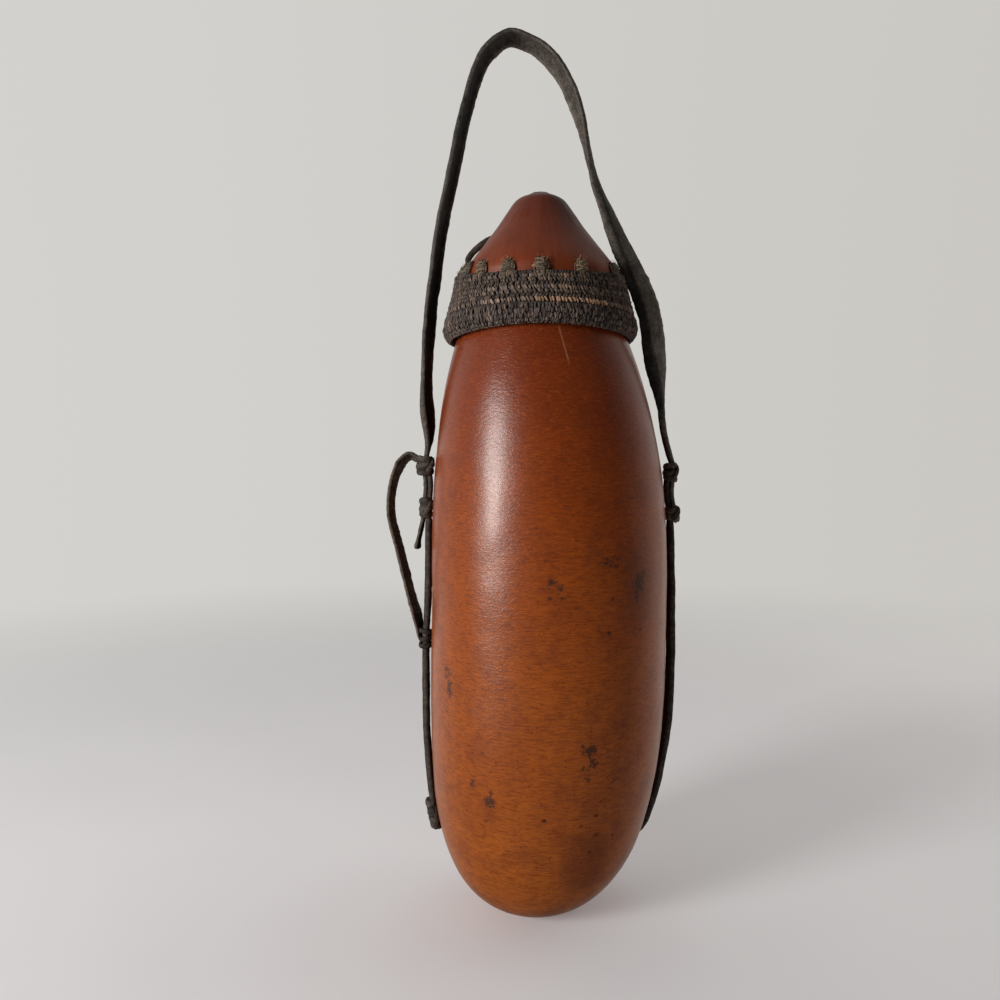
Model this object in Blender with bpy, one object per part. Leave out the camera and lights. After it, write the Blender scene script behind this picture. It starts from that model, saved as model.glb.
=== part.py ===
"""Drinking gourd with a stitched lid and a leather carrying harness.

Metres, +Z up, front towards -Y, origin at the middle of the foot. Azimuths are degrees round
the gourd from the front, growing towards +X.
"""
import math
import random

import bmesh
import bpy
from mathutils import Vector

# Gourd body: a long fruit, widest below the middle, that leans a little towards +X
BODY_RADIUS = 0.0519
WIDEST_HEIGHT = 0.1343
LOWER_LENGTH = 0.1359
UPPER_LENGTH = 0.1852
LOWER_POWERS = (3.62, 2.48)
UPPER_POWER = 2.71
LEAN_AT_BOW = 0.0065
BOW_HEIGHT = 0.1452
BODY_WALL = 0.0045
FLOOR_WALL = 0.006
NECK_RADIUS = 0.0302
MOUTH_RADIUS = 0.0268
RIM_HEIGHT = 0.2772
NECK_START = 0.2520
NECK_FOOT = 0.2640
SEGMENTS = 48

# Lid: the stem end of another gourd, hollow, with its stem scar on top
HEAD_X = 0.0024
LID_OUTLINE = (
    (0.0350, 0.2695), (0.0350, 0.2735), (0.0341, 0.2780), (0.0298, 0.2845), (0.0242, 0.2918),
    (0.0191, 0.2985), (0.0150, 0.3046), (0.0107, 0.3104), (0.0058, 0.3130),
)
LID_WALL = 0.0031
LID_CROWN = 0.0012
SCAR_RADIUS = 0.0048
SCAR_HEIGHT = 0.0008
LID_TOP = 0.3141

# Fibre collar: a woven sleeve sewn to the lid's edge, with a thick wrapped hem
COLLAR_OUTLINE = (
    (0.0364, 0.2790), (0.0371, 0.2728), (0.0384, 0.2680), (0.0397, 0.2630), (0.0410, 0.2580),
    (0.0419, 0.2540), (0.0412, 0.2508), (0.0397, 0.2492),
)
COLLAR_INSIDE = (
    (0.0393, 0.2490), (0.0383, 0.2520), (0.0372, 0.2580), (0.0361, 0.2655), (0.0354, 0.2700),
)
COLLAR_INSIDE_TOP = 0.0354
HEM_ZONE = 0.2630
HEM_EASE = 0.012
COLLAR_TOP_FRONT = 0.2719
COLLAR_TOP_RISE = 0.0052
COLLAR_HEM_FRONT = 0.2517
COLLAR_HEM_DROP = 0.0018
COLLAR_SEGMENTS = 56
VISIBLE_STITCHES = (-82, -63, -45, -24, -2, 25, 59)
HIDDEN_STITCHES = 8
STITCH_WIDTH = 0.0038
STITCH_THICK = 0.0015
STITCH_REACH = 0.0062
STITCH_RISE = 0.0004

# Harness: flat leather straps, all 0.3 mm or more clear of each other
GAP = 0.0003
STRAP_SIDES = 8

# The thong's lower end goes round the side strap here, a little larger than the strap's section
WRAP_CENTRE = (-0.0484, 0.002, 0.1180)
WRAP_HALF_HEIGHT = 0.0042
WRAP_WALL = 0.0008
WRAP_HOLE = (0.0073, 0.0028)

# Rows of x, y, z in mm, turn in degrees, width and thickness in mm.
# A strap with no turn has its width along Y; a turned one shows its outer face to the front.
HANDLE_ROUTE = (
    (-52.4, 1.5, 158.0, -30, 3.6, 2.6), (-51.5, 1.5, 162.5, -30, 2.2, 1.5),
    (-50.2, 2.0, 168.5, -15, 3.0, 1.6), (-49.2, 2.0, 174.5, 0, 4.0, 1.9),
    (-48.3, 2.0, 186.2, 0, 4.0, 1.9), (-49.0, 2.0, 194.8, 0, 4.0, 1.9),
    (-47.6, 2.0, 201.5, 0, 5.0, 2.2), (-47.0, 2.0, 209.0, -10, 8.0, 2.8),
    (-48.2, 2.0, 222.3, -14, 9.5, 3.0), (-48.0, 2.0, 235.6, -16, 10.0, 3.0),
    (-46.1, 1.0, 261.9, -18, 10.5, 3.0), (-41.9, 0.0, 294.4, -18, 10.5, 3.0),
    (-34.1, 0.0, 333.3, -18, 10.5, 3.0), (-29.5, 0.0, 352.7, -18, 10.5, 3.0),
    (-25.6, 0.0, 365.5, -16, 10.8, 3.0), (-20.6, 0.0, 375.4, -12, 11.0, 3.0),
    (-11.6, 0.0, 381.8, -8, 11.0, 3.0), (-3.0, 0.0, 379.8, -8, 11.0, 3.0),
    (5.4, 0.0, 374.4, -10, 11.0, 3.0), (12.2, 0.0, 366.2, -12, 11.0, 3.0),
    (17.2, 0.0, 356.0, -12, 10.8, 3.0), (20.5, 0.0, 346.0, -8, 10.5, 3.0),
    (22.7, 0.0, 335.9, 2, 10.5, 3.0), (25.1, 0.0, 325.6, 10, 10.5, 3.0),
    (28.4, -2.0, 314.5, 26, 10.8, 3.0), (36.6, -6.0, 292.7, 52, 11.2, 3.0),
    (45.6, -9.0, 271.4, 64, 11.5, 3.0), (49.0, -9.0, 261.2, 68, 11.5, 3.0),
    (51.2, -8.0, 251.2, 62, 11.5, 3.0), (53.2, -5.5, 241.2, 44, 11.0, 3.0),
    (54.9, -3.0, 231.0, 26, 10.5, 3.0), (56.0, -1.0, 220.7, 12, 9.0, 3.0),
    (57.4, 0.5, 211.5, 4, 7.0, 2.7), (60.0, 1.0, 201.5, 0, 5.0, 2.2),
    (61.9, 1.0, 194.0, 0, 4.0, 1.9), (61.3, 1.0, 183.0, 0, 4.0, 1.9),
    (62.7, 1.0, 174.0, 0, 4.0, 1.9), (63.0, 1.0, 169.8, 0, 3.6, 1.6),
)
SIDE_STRAP_ROUTE = (
    (-45.0, 2.0, 40.8, 0, 5.6, 2.2), (-46.1, 2.0, 50.0, 0, 7.5, 2.7),
    (-47.1, 2.0, 60.0, 0, 7.8, 2.8), (-48.2, 2.0, 78.0, 0, 7.8, 2.8),
    (-48.4, 2.0, 94.0, 0, 7.5, 2.8), (-48.4, 2.0, 108.0, 0, 7.3, 2.5),
    (-48.4, 2.0, 118.0, 0, 7.2, 2.4), (-48.0, 2.0, 126.0, 0, 7.3, 2.5),
    (-47.4, 2.0, 136.0, 0, 7.5, 2.8), (-47.1, 2.0, 152.0, 0, 7.5, 2.8),
    (-47.0, 2.0, 168.0, 0, 6.0, 2.4), (-46.9, 2.0, 175.5, 0, 4.0, 1.9),
    (-46.1, 2.0, 186.2, 0, 4.0, 1.9), (-46.8, 2.0, 193.5, 0, 4.0, 1.9),
    (-46.7, 2.0, 196.2, 0, 3.6, 1.8),
)
THONG_ROUTE = (
    (-51.0, 2.0, 117.0, -4, 6.4, 1.0), (-51.6, 2.0, 124.0, -25, 5.8, 1.4),
    (-53.0, 2.0, 130.4, -45, 5.0, 1.6), (-55.0, 2.0, 137.2, -45, 4.6, 1.6),
    (-60.4, 2.0, 158.9, -40, 4.4, 1.6), (-63.3, 2.0, 170.0, -40, 4.4, 1.6),
    (-64.0, 2.0, 179.0, -40, 4.4, 1.6), (-62.4, 2.0, 189.0, -40, 4.6, 1.7),
    (-59.4, 2.0, 196.3, -45, 4.8, 1.8), (-56.0, 2.0, 199.5, -45, 4.4, 1.8),
    (-53.4, 2.0, 199.0, -40, 3.6, 1.7), (-51.4, 2.0, 197.2, -35, 2.8, 1.5),
)

# Rows of azimuth in degrees, height and distance off the gourd in mm, width and thickness in mm
SLING_ROUTE = (
    (268, 35.0, 2.6, 4.6, 2.0), (258, 32.5, 2.1, 6.4, 2.6), (240, 26.5, 1.9, 7.8, 2.8),
    (215, 19.5, 1.9, 8.0, 2.8), (190, 16.5, 1.9, 8.0, 2.8), (165, 16.0, 1.9, 8.0, 2.8),
    (143, 18.0, 1.9, 8.0, 2.8), (122, 21.5, 2.0, 8.0, 2.8), (105, 26.5, 2.2, 8.0, 2.8),
    (95, 34.5, 2.8, 8.0, 2.8), (92, 48.0, 3.1, 8.0, 2.8), (92, 65.0, 3.4, 8.0, 2.8),
    (91, 84.0, 3.8, 8.0, 2.8), (91, 108.0, 3.7, 8.0, 2.8),
    (91, 135.0, 3.0, 8.0, 2.8), (91, 155.0, 2.7, 7.6, 2.8), (91, 166.0, 3.0, 5.6, 2.4),
    (91, 174.0, 3.2, 4.0, 1.9), (91, 183.0, 2.5, 4.0, 1.9), (91, 191.5, 4.0, 4.0, 1.9),
    (91, 194.0, 4.1, 3.6, 1.8),
)

# Rows of height, distance off the lid, width and thickness in mm
LID_LOOP_AZIMUTH = 266
LID_LOOP_ROUTE = (
    (296.2, -2.2, 3.0, 1.5), (295.4, -0.2, 3.0, 1.5), (293.6, 2.0, 3.2, 1.6), (290.4, 3.5, 3.4, 1.6),
    (287.0, 3.5, 3.4, 1.6), (284.6, 2.0, 3.2, 1.5), (283.6, -0.2, 3.0, 1.5), (283.4, -2.2, 3.0, 1.5),
)

# Knots: name, centre x, y, z, half sizes across, along Y and up, lean in degrees, and turns of thong
KNOTS = (
    ("knot_left_upper", (-48.4, 2.0, 195.4), (4.2, 4.0, 4.0), 0, 3),
    ("knot_left_lower", (-48.2, 2.0, 176.6), (3.2, 3.9, 4.2), 0, 2),
    ("knot_right_upper", (60.8, 1.0, 192.4), (3.3, 3.9, 3.9), 0, 3),
    ("knot_right_lower", (61.8, 1.0, 174.0), (3.4, 3.8, 3.2), 0, 2),
    ("knot_base_left", (-45.3, 3.0, 37.4), (2.7, 4.8, 6.9), 13, 3),
)

KNOT_SIDES = 14
KNOT_REACH = 0.016

LEATHER = ("leather", (0.030, 0.026, 0.023), 0.72)
KNOT_LEATHER = ("knot_leather", (0.045, 0.038, 0.032), 0.8)
GOURD_SHELL = ("gourd_shell", (0.165, 0.048, 0.017), 0.38)
LID_SHELL = ("lid_shell", (0.110, 0.028, 0.016), 0.42)
FIBRE = ("fibre", (0.050, 0.042, 0.035), 0.9)


def clear_scene():
    for obj in list(bpy.data.objects):
        bpy.data.objects.remove(obj, do_unlink=True)


def make_material(spec):
    name, colour, roughness = spec
    material = bpy.data.materials.new(name)
    material.use_nodes = True
    shader = material.node_tree.nodes["Principled BSDF"]
    shader.inputs["Base Color"].default_value = (*colour, 1.0)
    shader.inputs["Roughness"].default_value = roughness
    shader.inputs["Metallic"].default_value = 0.0
    material.diffuse_color = (*colour, 1.0)
    return material


def link_object(name, mesh, spec):
    """Turns a finished bmesh into an object with its own material."""
    bmesh.ops.recalc_face_normals(mesh, faces=mesh.faces)
    data = bpy.data.meshes.new(name)
    mesh.to_mesh(data)
    mesh.free()
    data.shade_smooth()
    data.set_sharp_from_angle(angle=math.radians(45))
    data.materials.append(make_material(spec))
    obj = bpy.data.objects.new(name, data)
    bpy.context.scene.collection.objects.link(obj)
    return obj


def join_loops(mesh, lower, upper):
    """Faces from one ring of vertices to the next, either of which may be a single pole."""
    count = max(len(lower), len(upper))
    for i in range(count):
        j = (i + 1) % count
        corners = [ring[k % len(ring)] for ring, k in ((lower, i), (lower, j), (upper, j), (upper, i))]
        mesh.faces.new(list(dict.fromkeys(corners)))


def make_object(name, rings, spec, closed=False):
    """A closed mesh from rings of points: with poles or flat caps at its ends, or run right round."""
    mesh = bmesh.new()
    loops = [[mesh.verts.new(point) for point in ring] for ring in rings]
    for lower, upper in zip(loops, loops[1:]):
        join_loops(mesh, lower, upper)
    if closed:
        join_loops(mesh, loops[-1], loops[0])
    else:
        for loop in (loops[0][::-1], loops[-1]):
            if len(loop) > 1:
                mesh.faces.new(loop)
    return link_object(name, mesh, spec)


def combine(target, operation, others):
    """Joins or cuts the target with the others, applies it, and removes the others."""
    group = bpy.data.collections.new(target.name + "_parts")
    for other in others:
        group.objects.link(other)
    modifier = target.modifiers.new(operation.lower(), "BOOLEAN")
    modifier.operation = operation
    modifier.solver = "EXACT"
    modifier.operand_type = "COLLECTION"
    modifier.collection = group
    graph = bpy.context.evaluated_depsgraph_get()
    joined = bpy.data.meshes.new_from_object(target.evaluated_get(graph))
    target.modifiers.clear()
    material = target.data.materials[0]
    target.data = joined
    joined.materials.clear()
    joined.materials.append(material)
    for other in others:
        bpy.data.objects.remove(other, do_unlink=True)
    bpy.data.collections.remove(group)


def spline(rows, t):
    """A smooth curve through the rows of numbers, read at t from 0 to the last row's index."""
    k = min(int(t), len(rows) - 2)
    u = t - k
    a, b = rows[max(k - 1, 0)], rows[k]
    c, d = rows[k + 1], rows[min(k + 2, len(rows) - 1)]
    return [
        0.5 * (2 * q + (r - p) * u + (2 * p - 5 * q + 4 * r - s) * u * u + (3 * q - p - 3 * r + s) * u ** 3)
        for p, q, r, s in zip(a, b, c, d)
    ]


def spline_rows(rows, steps):
    last = len(rows) - 1
    return [spline(rows, last * i / steps) for i in range(steps + 1)]


def body_radius(z):
    if z < WIDEST_HEIGHT:
        depth = (WIDEST_HEIGHT - z) / LOWER_LENGTH
        return BODY_RADIUS * (1 - depth ** LOWER_POWERS[0]) ** (1 / LOWER_POWERS[1])
    height = (z - WIDEST_HEIGHT) / UPPER_LENGTH
    return max(NECK_RADIUS, BODY_RADIUS * (1 - height ** UPPER_POWER))


def hollow_radius(z):
    inner = BODY_RADIUS - BODY_WALL
    if z < WIDEST_HEIGHT:
        depth = (WIDEST_HEIGHT - z) / (WIDEST_HEIGHT - FLOOR_WALL)
        return inner * max(0.0, 1 - depth ** LOWER_POWERS[0]) ** (1 / LOWER_POWERS[1])
    return max(MOUTH_RADIUS, body_radius(z) - BODY_WALL)


def lean(z):
    """How far the gourd's middle line stands towards +X at height z; the neck is under the lid."""
    bowed = LEAN_AT_BOW * (1 - ((z - BOW_HEIGHT) / BOW_HEIGHT) ** 2)
    share = min(1.0, max(0.0, (z - NECK_START) / (NECK_FOOT - NECK_START)))
    return bowed + (HEAD_X - bowed) * share


def outward_at(azimuth):
    return Vector((math.sin(azimuth), -math.cos(azimuth), 0))


def ring_at(x, radius, z):
    if radius < 1e-6:
        return [Vector((x, 0, z))]
    return [Vector((x, 0, z)) + outward_at(2 * math.pi * i / SEGMENTS) * radius for i in range(SEGMENTS)]


def curve_radius(outline, z):
    """The radius at height z of an outline of radius and height rows, in falling or rising order."""
    rows = sorted(outline, key=lambda row: row[1])
    if z <= rows[0][1]:
        return rows[0][0]
    for (r0, z0), (r1, z1) in zip(rows, rows[1:]):
        if z <= z1:
            return r0 + (r1 - r0) * (z - z0) / (z1 - z0)
    return rows[-1][0]


def make_body():
    outer_steps, inner_steps = 26, 15
    rings = [ring_at(0.0, 0.0, 0.0)]
    for i in range(outer_steps + 1):
        z = RIM_HEIGHT * 0.5 * (1 - math.cos(math.pi * i / outer_steps))
        rings.append(ring_at(lean(z), body_radius(z), z))
    for i in range(inner_steps + 1):
        z = FLOOR_WALL + (RIM_HEIGHT - FLOOR_WALL) * 0.5 * (1 + math.cos(math.pi * i / inner_steps))
        rings.append(ring_at(lean(z), hollow_radius(z) if i < inner_steps else 0.0, z))
    return make_object("gourd_body", rings, GOURD_SHELL)


def make_lid():
    outer = spline_rows(LID_OUTLINE, 16)
    scar = [
        (SCAR_RADIUS, LID_TOP - SCAR_HEIGHT), (0.9 * SCAR_RADIUS, LID_TOP),
        (0.0, LID_TOP - 0.5 * SCAR_HEIGHT),
    ]
    inner = []
    for i in range(0, len(outer) - 2, 2):
        radius, z = outer[i]
        ahead, behind = outer[i + 1], outer[max(i - 1, 0)]
        along = Vector((ahead[0] - behind[0], ahead[1] - behind[1])).normalized()
        inner.append((radius - LID_WALL * along.y, z + LID_WALL * along.x))
    closing = [(0.0, inner[-1][1] + LID_CROWN)]
    rings = [ring_at(HEAD_X, r, z) for r, z in closing + inner[::-1] + outer + scar]
    return make_object("gourd_lid", rings, LID_SHELL)


def collar_top(azimuth):
    return COLLAR_TOP_FRONT + COLLAR_TOP_RISE * math.sin(azimuth) ** 4


def collar_ring(azimuth):
    """One section through the collar: down the outside, round the hem and up the inside."""
    top = collar_top(azimuth)
    middle = 0.5 * (top + HEM_ZONE)
    hem = [row for row in COLLAR_OUTLINE if row[1] <= HEM_ZONE]
    lift = COLLAR_HEM_FRONT - COLLAR_HEM_DROP * math.sin(azimuth) ** 2 - hem[-1][1]
    upper = [(curve_radius(COLLAR_OUTLINE, z), z) for z in (top, middle)]
    lower = []
    for radius, z in (*hem, *COLLAR_INSIDE):
        lower.append((radius, z + lift * min(1.0, max(0.0, (HEM_ZONE - z) / HEM_EASE))))
    rows = (*upper, *lower, (COLLAR_INSIDE_TOP, top))
    return [Vector((HEAD_X, 0, z)) + outward_at(azimuth) * r for r, z in rows]


def make_stitch(azimuth):
    """One stitch: out of the collar's top edge and up over the lid."""
    across = Vector((math.cos(azimuth), math.sin(azimuth), 0))
    lid_rows = spline_rows(LID_OUTLINE, 40)
    stations = []
    for share in (-0.35, 0.0, 0.35, 0.7, 1.0):
        z = collar_top(azimuth) + STITCH_REACH * share
        off = GAP + STITCH_THICK * 0.5 + (STITCH_RISE if share < 0.3 else 0.0)
        point = Vector((HEAD_X, 0, z)) + outward_at(azimuth) * (curve_radius(lid_rows, z) + off)
        wide = STITCH_WIDTH * (0.75 if share == 1.0 else 1.0)
        stations.append((point, across, wide, STITCH_THICK))
    return make_strap("stitch", stations, FIBRE, sides=6)


def make_collar():
    angles = [2 * math.pi * (i + 0.5) / COLLAR_SEGMENTS for i in range(COLLAR_SEGMENTS)]
    collar = make_object("fibre_collar", [collar_ring(a) for a in angles], FIBRE, closed=True)
    draw = random.Random(7)
    first, last = VISIBLE_STITCHES[-1], VISIBLE_STITCHES[0] + 360
    spacing = (last - first) / (HIDDEN_STITCHES + 1)
    hidden = [first + spacing * (i + 1) + draw.uniform(-2, 2) for i in range(HIDDEN_STITCHES)]
    stitches = [make_stitch(math.radians(a)) for a in (*VISIBLE_STITCHES, *hidden)]
    combine(collar, "UNION", stitches)
    return collar


def section(point, across, along, width, thick, sides):
    """A rounded flat section of a strap, across its path."""
    across = (across - along * across.dot(along)).normalized()
    face = along.cross(across)
    ring = []
    for i in range(sides):
        angle = 2 * math.pi * (i + 0.5) / sides
        c, s = math.cos(angle), math.sin(angle)
        u = math.copysign(abs(c) ** 0.7, c) * width * 0.5
        v = math.copysign(abs(s) ** 0.9, s) * thick * 0.5
        ring.append(point + across * u + face * v)
    return ring


def make_strap(name, stations, spec, sides=STRAP_SIDES, grow=0.0):
    """A strap from stations of point, direction of its width, width and thickness."""
    rings = []
    for i, (point, across, width, thick) in enumerate(stations):
        ahead = stations[min(i + 1, len(stations) - 1)][0]
        behind = stations[max(i - 1, 0)][0]
        along = (ahead - behind).normalized()
        if grow:
            point = point + along * grow * ((i == len(stations) - 1) - (i == 0))
        rings.append(section(point, across, along, width + 2 * grow, thick + 2 * grow, sides))
    return make_object(name, rings, spec)


def flat_stations(route, steps):
    """Stations along a route of x, y, z, turn, width and thickness in mm, in the straps' plane."""
    rows = spline_rows(route, steps)
    points = [Vector(row[:3]) / 1000 for row in rows]
    stations = []
    for i, row in enumerate(rows):
        along = (points[min(i + 1, steps)] - points[max(i - 1, 0)]).normalized()
        level = Vector((0, 1, 0))
        level = (level - along * level.dot(along)).normalized()
        outward = along.cross(level)
        turn = math.radians(row[3])
        across = level * math.cos(turn) + outward * math.sin(turn)
        stations.append((points[i], across, row[4] / 1000, row[5] / 1000))
    return stations


def body_point(azimuth, z, off):
    """A point off the gourd's surface, and the surface's normal there."""
    radius = body_radius(z)
    slope = (body_radius(z + 0.0005) - body_radius(z - 0.0005)) / 0.001
    normal = (outward_at(azimuth) - Vector((0, 0, slope))).normalized()
    return Vector((lean(z), 0, z)) + outward_at(azimuth) * radius + normal * off, normal


def sling_stations(steps):
    rows = spline_rows(SLING_ROUTE, steps)
    placed = [body_point(math.radians(az), z / 1000, off / 1000) for az, z, off, _, _ in rows]
    stations = []
    for i, row in enumerate(rows):
        along = (placed[min(i + 1, steps)][0] - placed[max(i - 1, 0)][0]).normalized()
        point, normal = placed[i]
        stations.append((point, along.cross(normal).normalized(), row[3] / 1000, row[4] / 1000))
    return stations


def lid_loop_stations(steps):
    azimuth = math.radians(LID_LOOP_AZIMUTH)
    across = Vector((math.cos(azimuth), math.sin(azimuth), 0))
    lid_rows = spline_rows(LID_OUTLINE, 40)
    stations = []
    for row in spline_rows(LID_LOOP_ROUTE, steps):
        z, off, width, thick = (value / 1000 for value in row)
        point = Vector((HEAD_X, 0, z)) + outward_at(azimuth) * (curve_radius(lid_rows, z) + off)
        stations.append((point, across, width, thick))
    return stations


def make_knot(name, centre, half, lean_degrees, turns):
    """A knot as a barrel of wrapped thong, one ridge for each turn."""
    steps = 4 * turns
    tilt = math.radians(lean_degrees)
    up = Vector((-math.sin(tilt), 0, math.cos(tilt)))
    out = Vector((math.cos(tilt), 0, math.sin(tilt)))
    middle = Vector(centre) / 1000
    hx, hy, hz = (value / 1000 for value in half)
    rings = []
    for i in range(steps + 1):
        s = -1 + 2 * i / steps
        swell = (1 - 0.42 * abs(s) ** 3.2) * (1 - 0.07 * math.cos(math.pi * turns * (s + 1)))
        ring = []
        for j in range(KNOT_SIDES):
            angle = 2 * math.pi * j / KNOT_SIDES
            across = out * (hx * swell * math.cos(angle)) + Vector((0, hy * swell * math.sin(angle), 0))
            ring.append(middle + up * (hz * s) + across)
        rings.append(ring)
    return make_object(name, rings, KNOT_LEATHER)


def make_harness():
    """The straps, the thong and the knots that tie them, each knot hollowed where straps pass."""
    routes = {
        "handle_strap": flat_stations(HANDLE_ROUTE, 96),
        "side_strap_left": flat_stations(SIDE_STRAP_ROUTE, 34),
        "sling_strap": sling_stations(56),
        "thong_loop_left": flat_stations(THONG_ROUTE, 30),
    }
    for name, stations in routes.items():
        make_strap(name, stations, LEATHER)
    for name, centre, half, lean_degrees, turns in KNOTS:
        knot = make_knot(name, centre, half, lean_degrees, turns)
        middle = Vector(centre) / 1000
        cutters = []
        for stations in routes.values():
            near = [s for s in stations if (s[0] - middle).length < KNOT_REACH]
            if len(near) > 1:
                cutters.append(make_strap("cutter", near, KNOT_LEATHER, grow=GAP))
        combine(knot, "DIFFERENCE", cutters)


def make_thong_wrap():
    """The thong's lower end, wrapped round the side strap."""
    width, thick = WRAP_HOLE
    rings = []
    for wall, side in ((0.0, -1), (0.0, 1), (WRAP_WALL, 1), (WRAP_WALL, -1)):
        grow = 2 * (GAP + wall)
        middle = Vector(WRAP_CENTRE) + Vector((0, 0, side * WRAP_HALF_HEIGHT))
        rings.append(section(middle, Vector((0, 1, 0)), Vector((0, 0, 1)), width + grow, thick + grow, 12))
    wrap = make_object("thong_wrap", list(zip(*rings)), LEATHER, closed=True)
    combine(bpy.data.objects["thong_loop_left"], "UNION", [wrap])


def make_lid_loop(lid):
    stations = lid_loop_stations(22)
    make_strap("lid_loop", stations, LEATHER, sides=6)
    combine(lid, "DIFFERENCE", [make_strap("cutter", stations, LID_SHELL, sides=6, grow=GAP)])


clear_scene()
make_body()
gourd_lid = make_lid()
make_collar()
make_harness()
make_thong_wrap()
make_lid_loop(gourd_lid)
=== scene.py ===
"""Looks for the drinking gourd: fine shell, woven collar, hide straps, materials, light and camera.

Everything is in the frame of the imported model: metres, +Z up, front towards -Y. A table whose
numbers are in mm says so. Azimuths go round the gourd from the front, growing towards +X. They
are degrees in the tables and radians in the functions.
"""
import math
import random

import bmesh
import bpy
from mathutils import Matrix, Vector, noise


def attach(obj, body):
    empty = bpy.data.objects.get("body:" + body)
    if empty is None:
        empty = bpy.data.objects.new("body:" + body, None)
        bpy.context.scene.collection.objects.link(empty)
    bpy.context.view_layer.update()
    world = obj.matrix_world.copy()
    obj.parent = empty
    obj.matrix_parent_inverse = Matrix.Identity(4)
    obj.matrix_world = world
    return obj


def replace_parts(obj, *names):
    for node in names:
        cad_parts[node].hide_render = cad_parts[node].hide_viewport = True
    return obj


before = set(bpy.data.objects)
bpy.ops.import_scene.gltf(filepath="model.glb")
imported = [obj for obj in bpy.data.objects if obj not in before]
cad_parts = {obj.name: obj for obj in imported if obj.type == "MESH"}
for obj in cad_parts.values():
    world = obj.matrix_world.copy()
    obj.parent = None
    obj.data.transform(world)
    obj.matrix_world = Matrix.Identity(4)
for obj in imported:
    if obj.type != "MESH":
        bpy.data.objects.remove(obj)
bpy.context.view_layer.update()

MM = 0.001
BACK = Vector((0, 1, 0))

# The gourd's curves, as in the part's source
BODY_RADIUS = 0.0519
WIDEST_HEIGHT = 0.1343
LOWER_LENGTH = 0.1359
UPPER_LENGTH = 0.1852
LOWER_POWERS = (3.62, 2.48)
UPPER_POWER = 2.71
LEAN_AT_BOW = 0.0065
BOW_HEIGHT = 0.1452
BODY_WALL = 0.0045
FLOOR_WALL = 0.006
NECK_RADIUS = 0.0302
MOUTH_RADIUS = 0.0268
RIM_HEIGHT = 0.2772
NECK_START = 0.2520
NECK_FOOT = 0.2640

HEAD_X = 0.0024
LID_OUTLINE = (
    (0.0350, 0.2695), (0.0350, 0.2735), (0.0341, 0.2780), (0.0298, 0.2845), (0.0242, 0.2918),
    (0.0191, 0.2985), (0.0150, 0.3046), (0.0107, 0.3104), (0.0058, 0.3130),
)
LID_WALL = 0.0031
SCAR_RADIUS = 0.0048
LID_TOP = 0.3141

COLLAR_OUTLINE = (
    (0.0364, 0.2790), (0.0371, 0.2728), (0.0384, 0.2680), (0.0397, 0.2630), (0.0410, 0.2580),
    (0.0419, 0.2540), (0.0412, 0.2508), (0.0397, 0.2492),
)
COLLAR_INSIDE = (
    (0.0393, 0.2490), (0.0383, 0.2520), (0.0372, 0.2580), (0.0361, 0.2655), (0.0354, 0.2700),
)
COLLAR_TOP_FRONT = 0.2719
COLLAR_TOP_RISE = 0.0052
HEM_TOP_FRONT = 0.2586
HEM_ZONE = 0.2630
HEM_EASE = 0.012
COLLAR_HEM_FRONT = 0.2517
COLLAR_HEM_DROP = 0.0018
# Radii that turn a stitch's run in metres into an angle, on the twining, the hem and the lid's edge
TWINING_RADIUS = 0.039
HEM_RADIUS = 0.041
LID_EDGE_RADIUS = 0.0355
FLECK_RADIUS = 0.035
# The height of the twined part at the front
TWINING_HEIGHT = 0.0133

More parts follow.
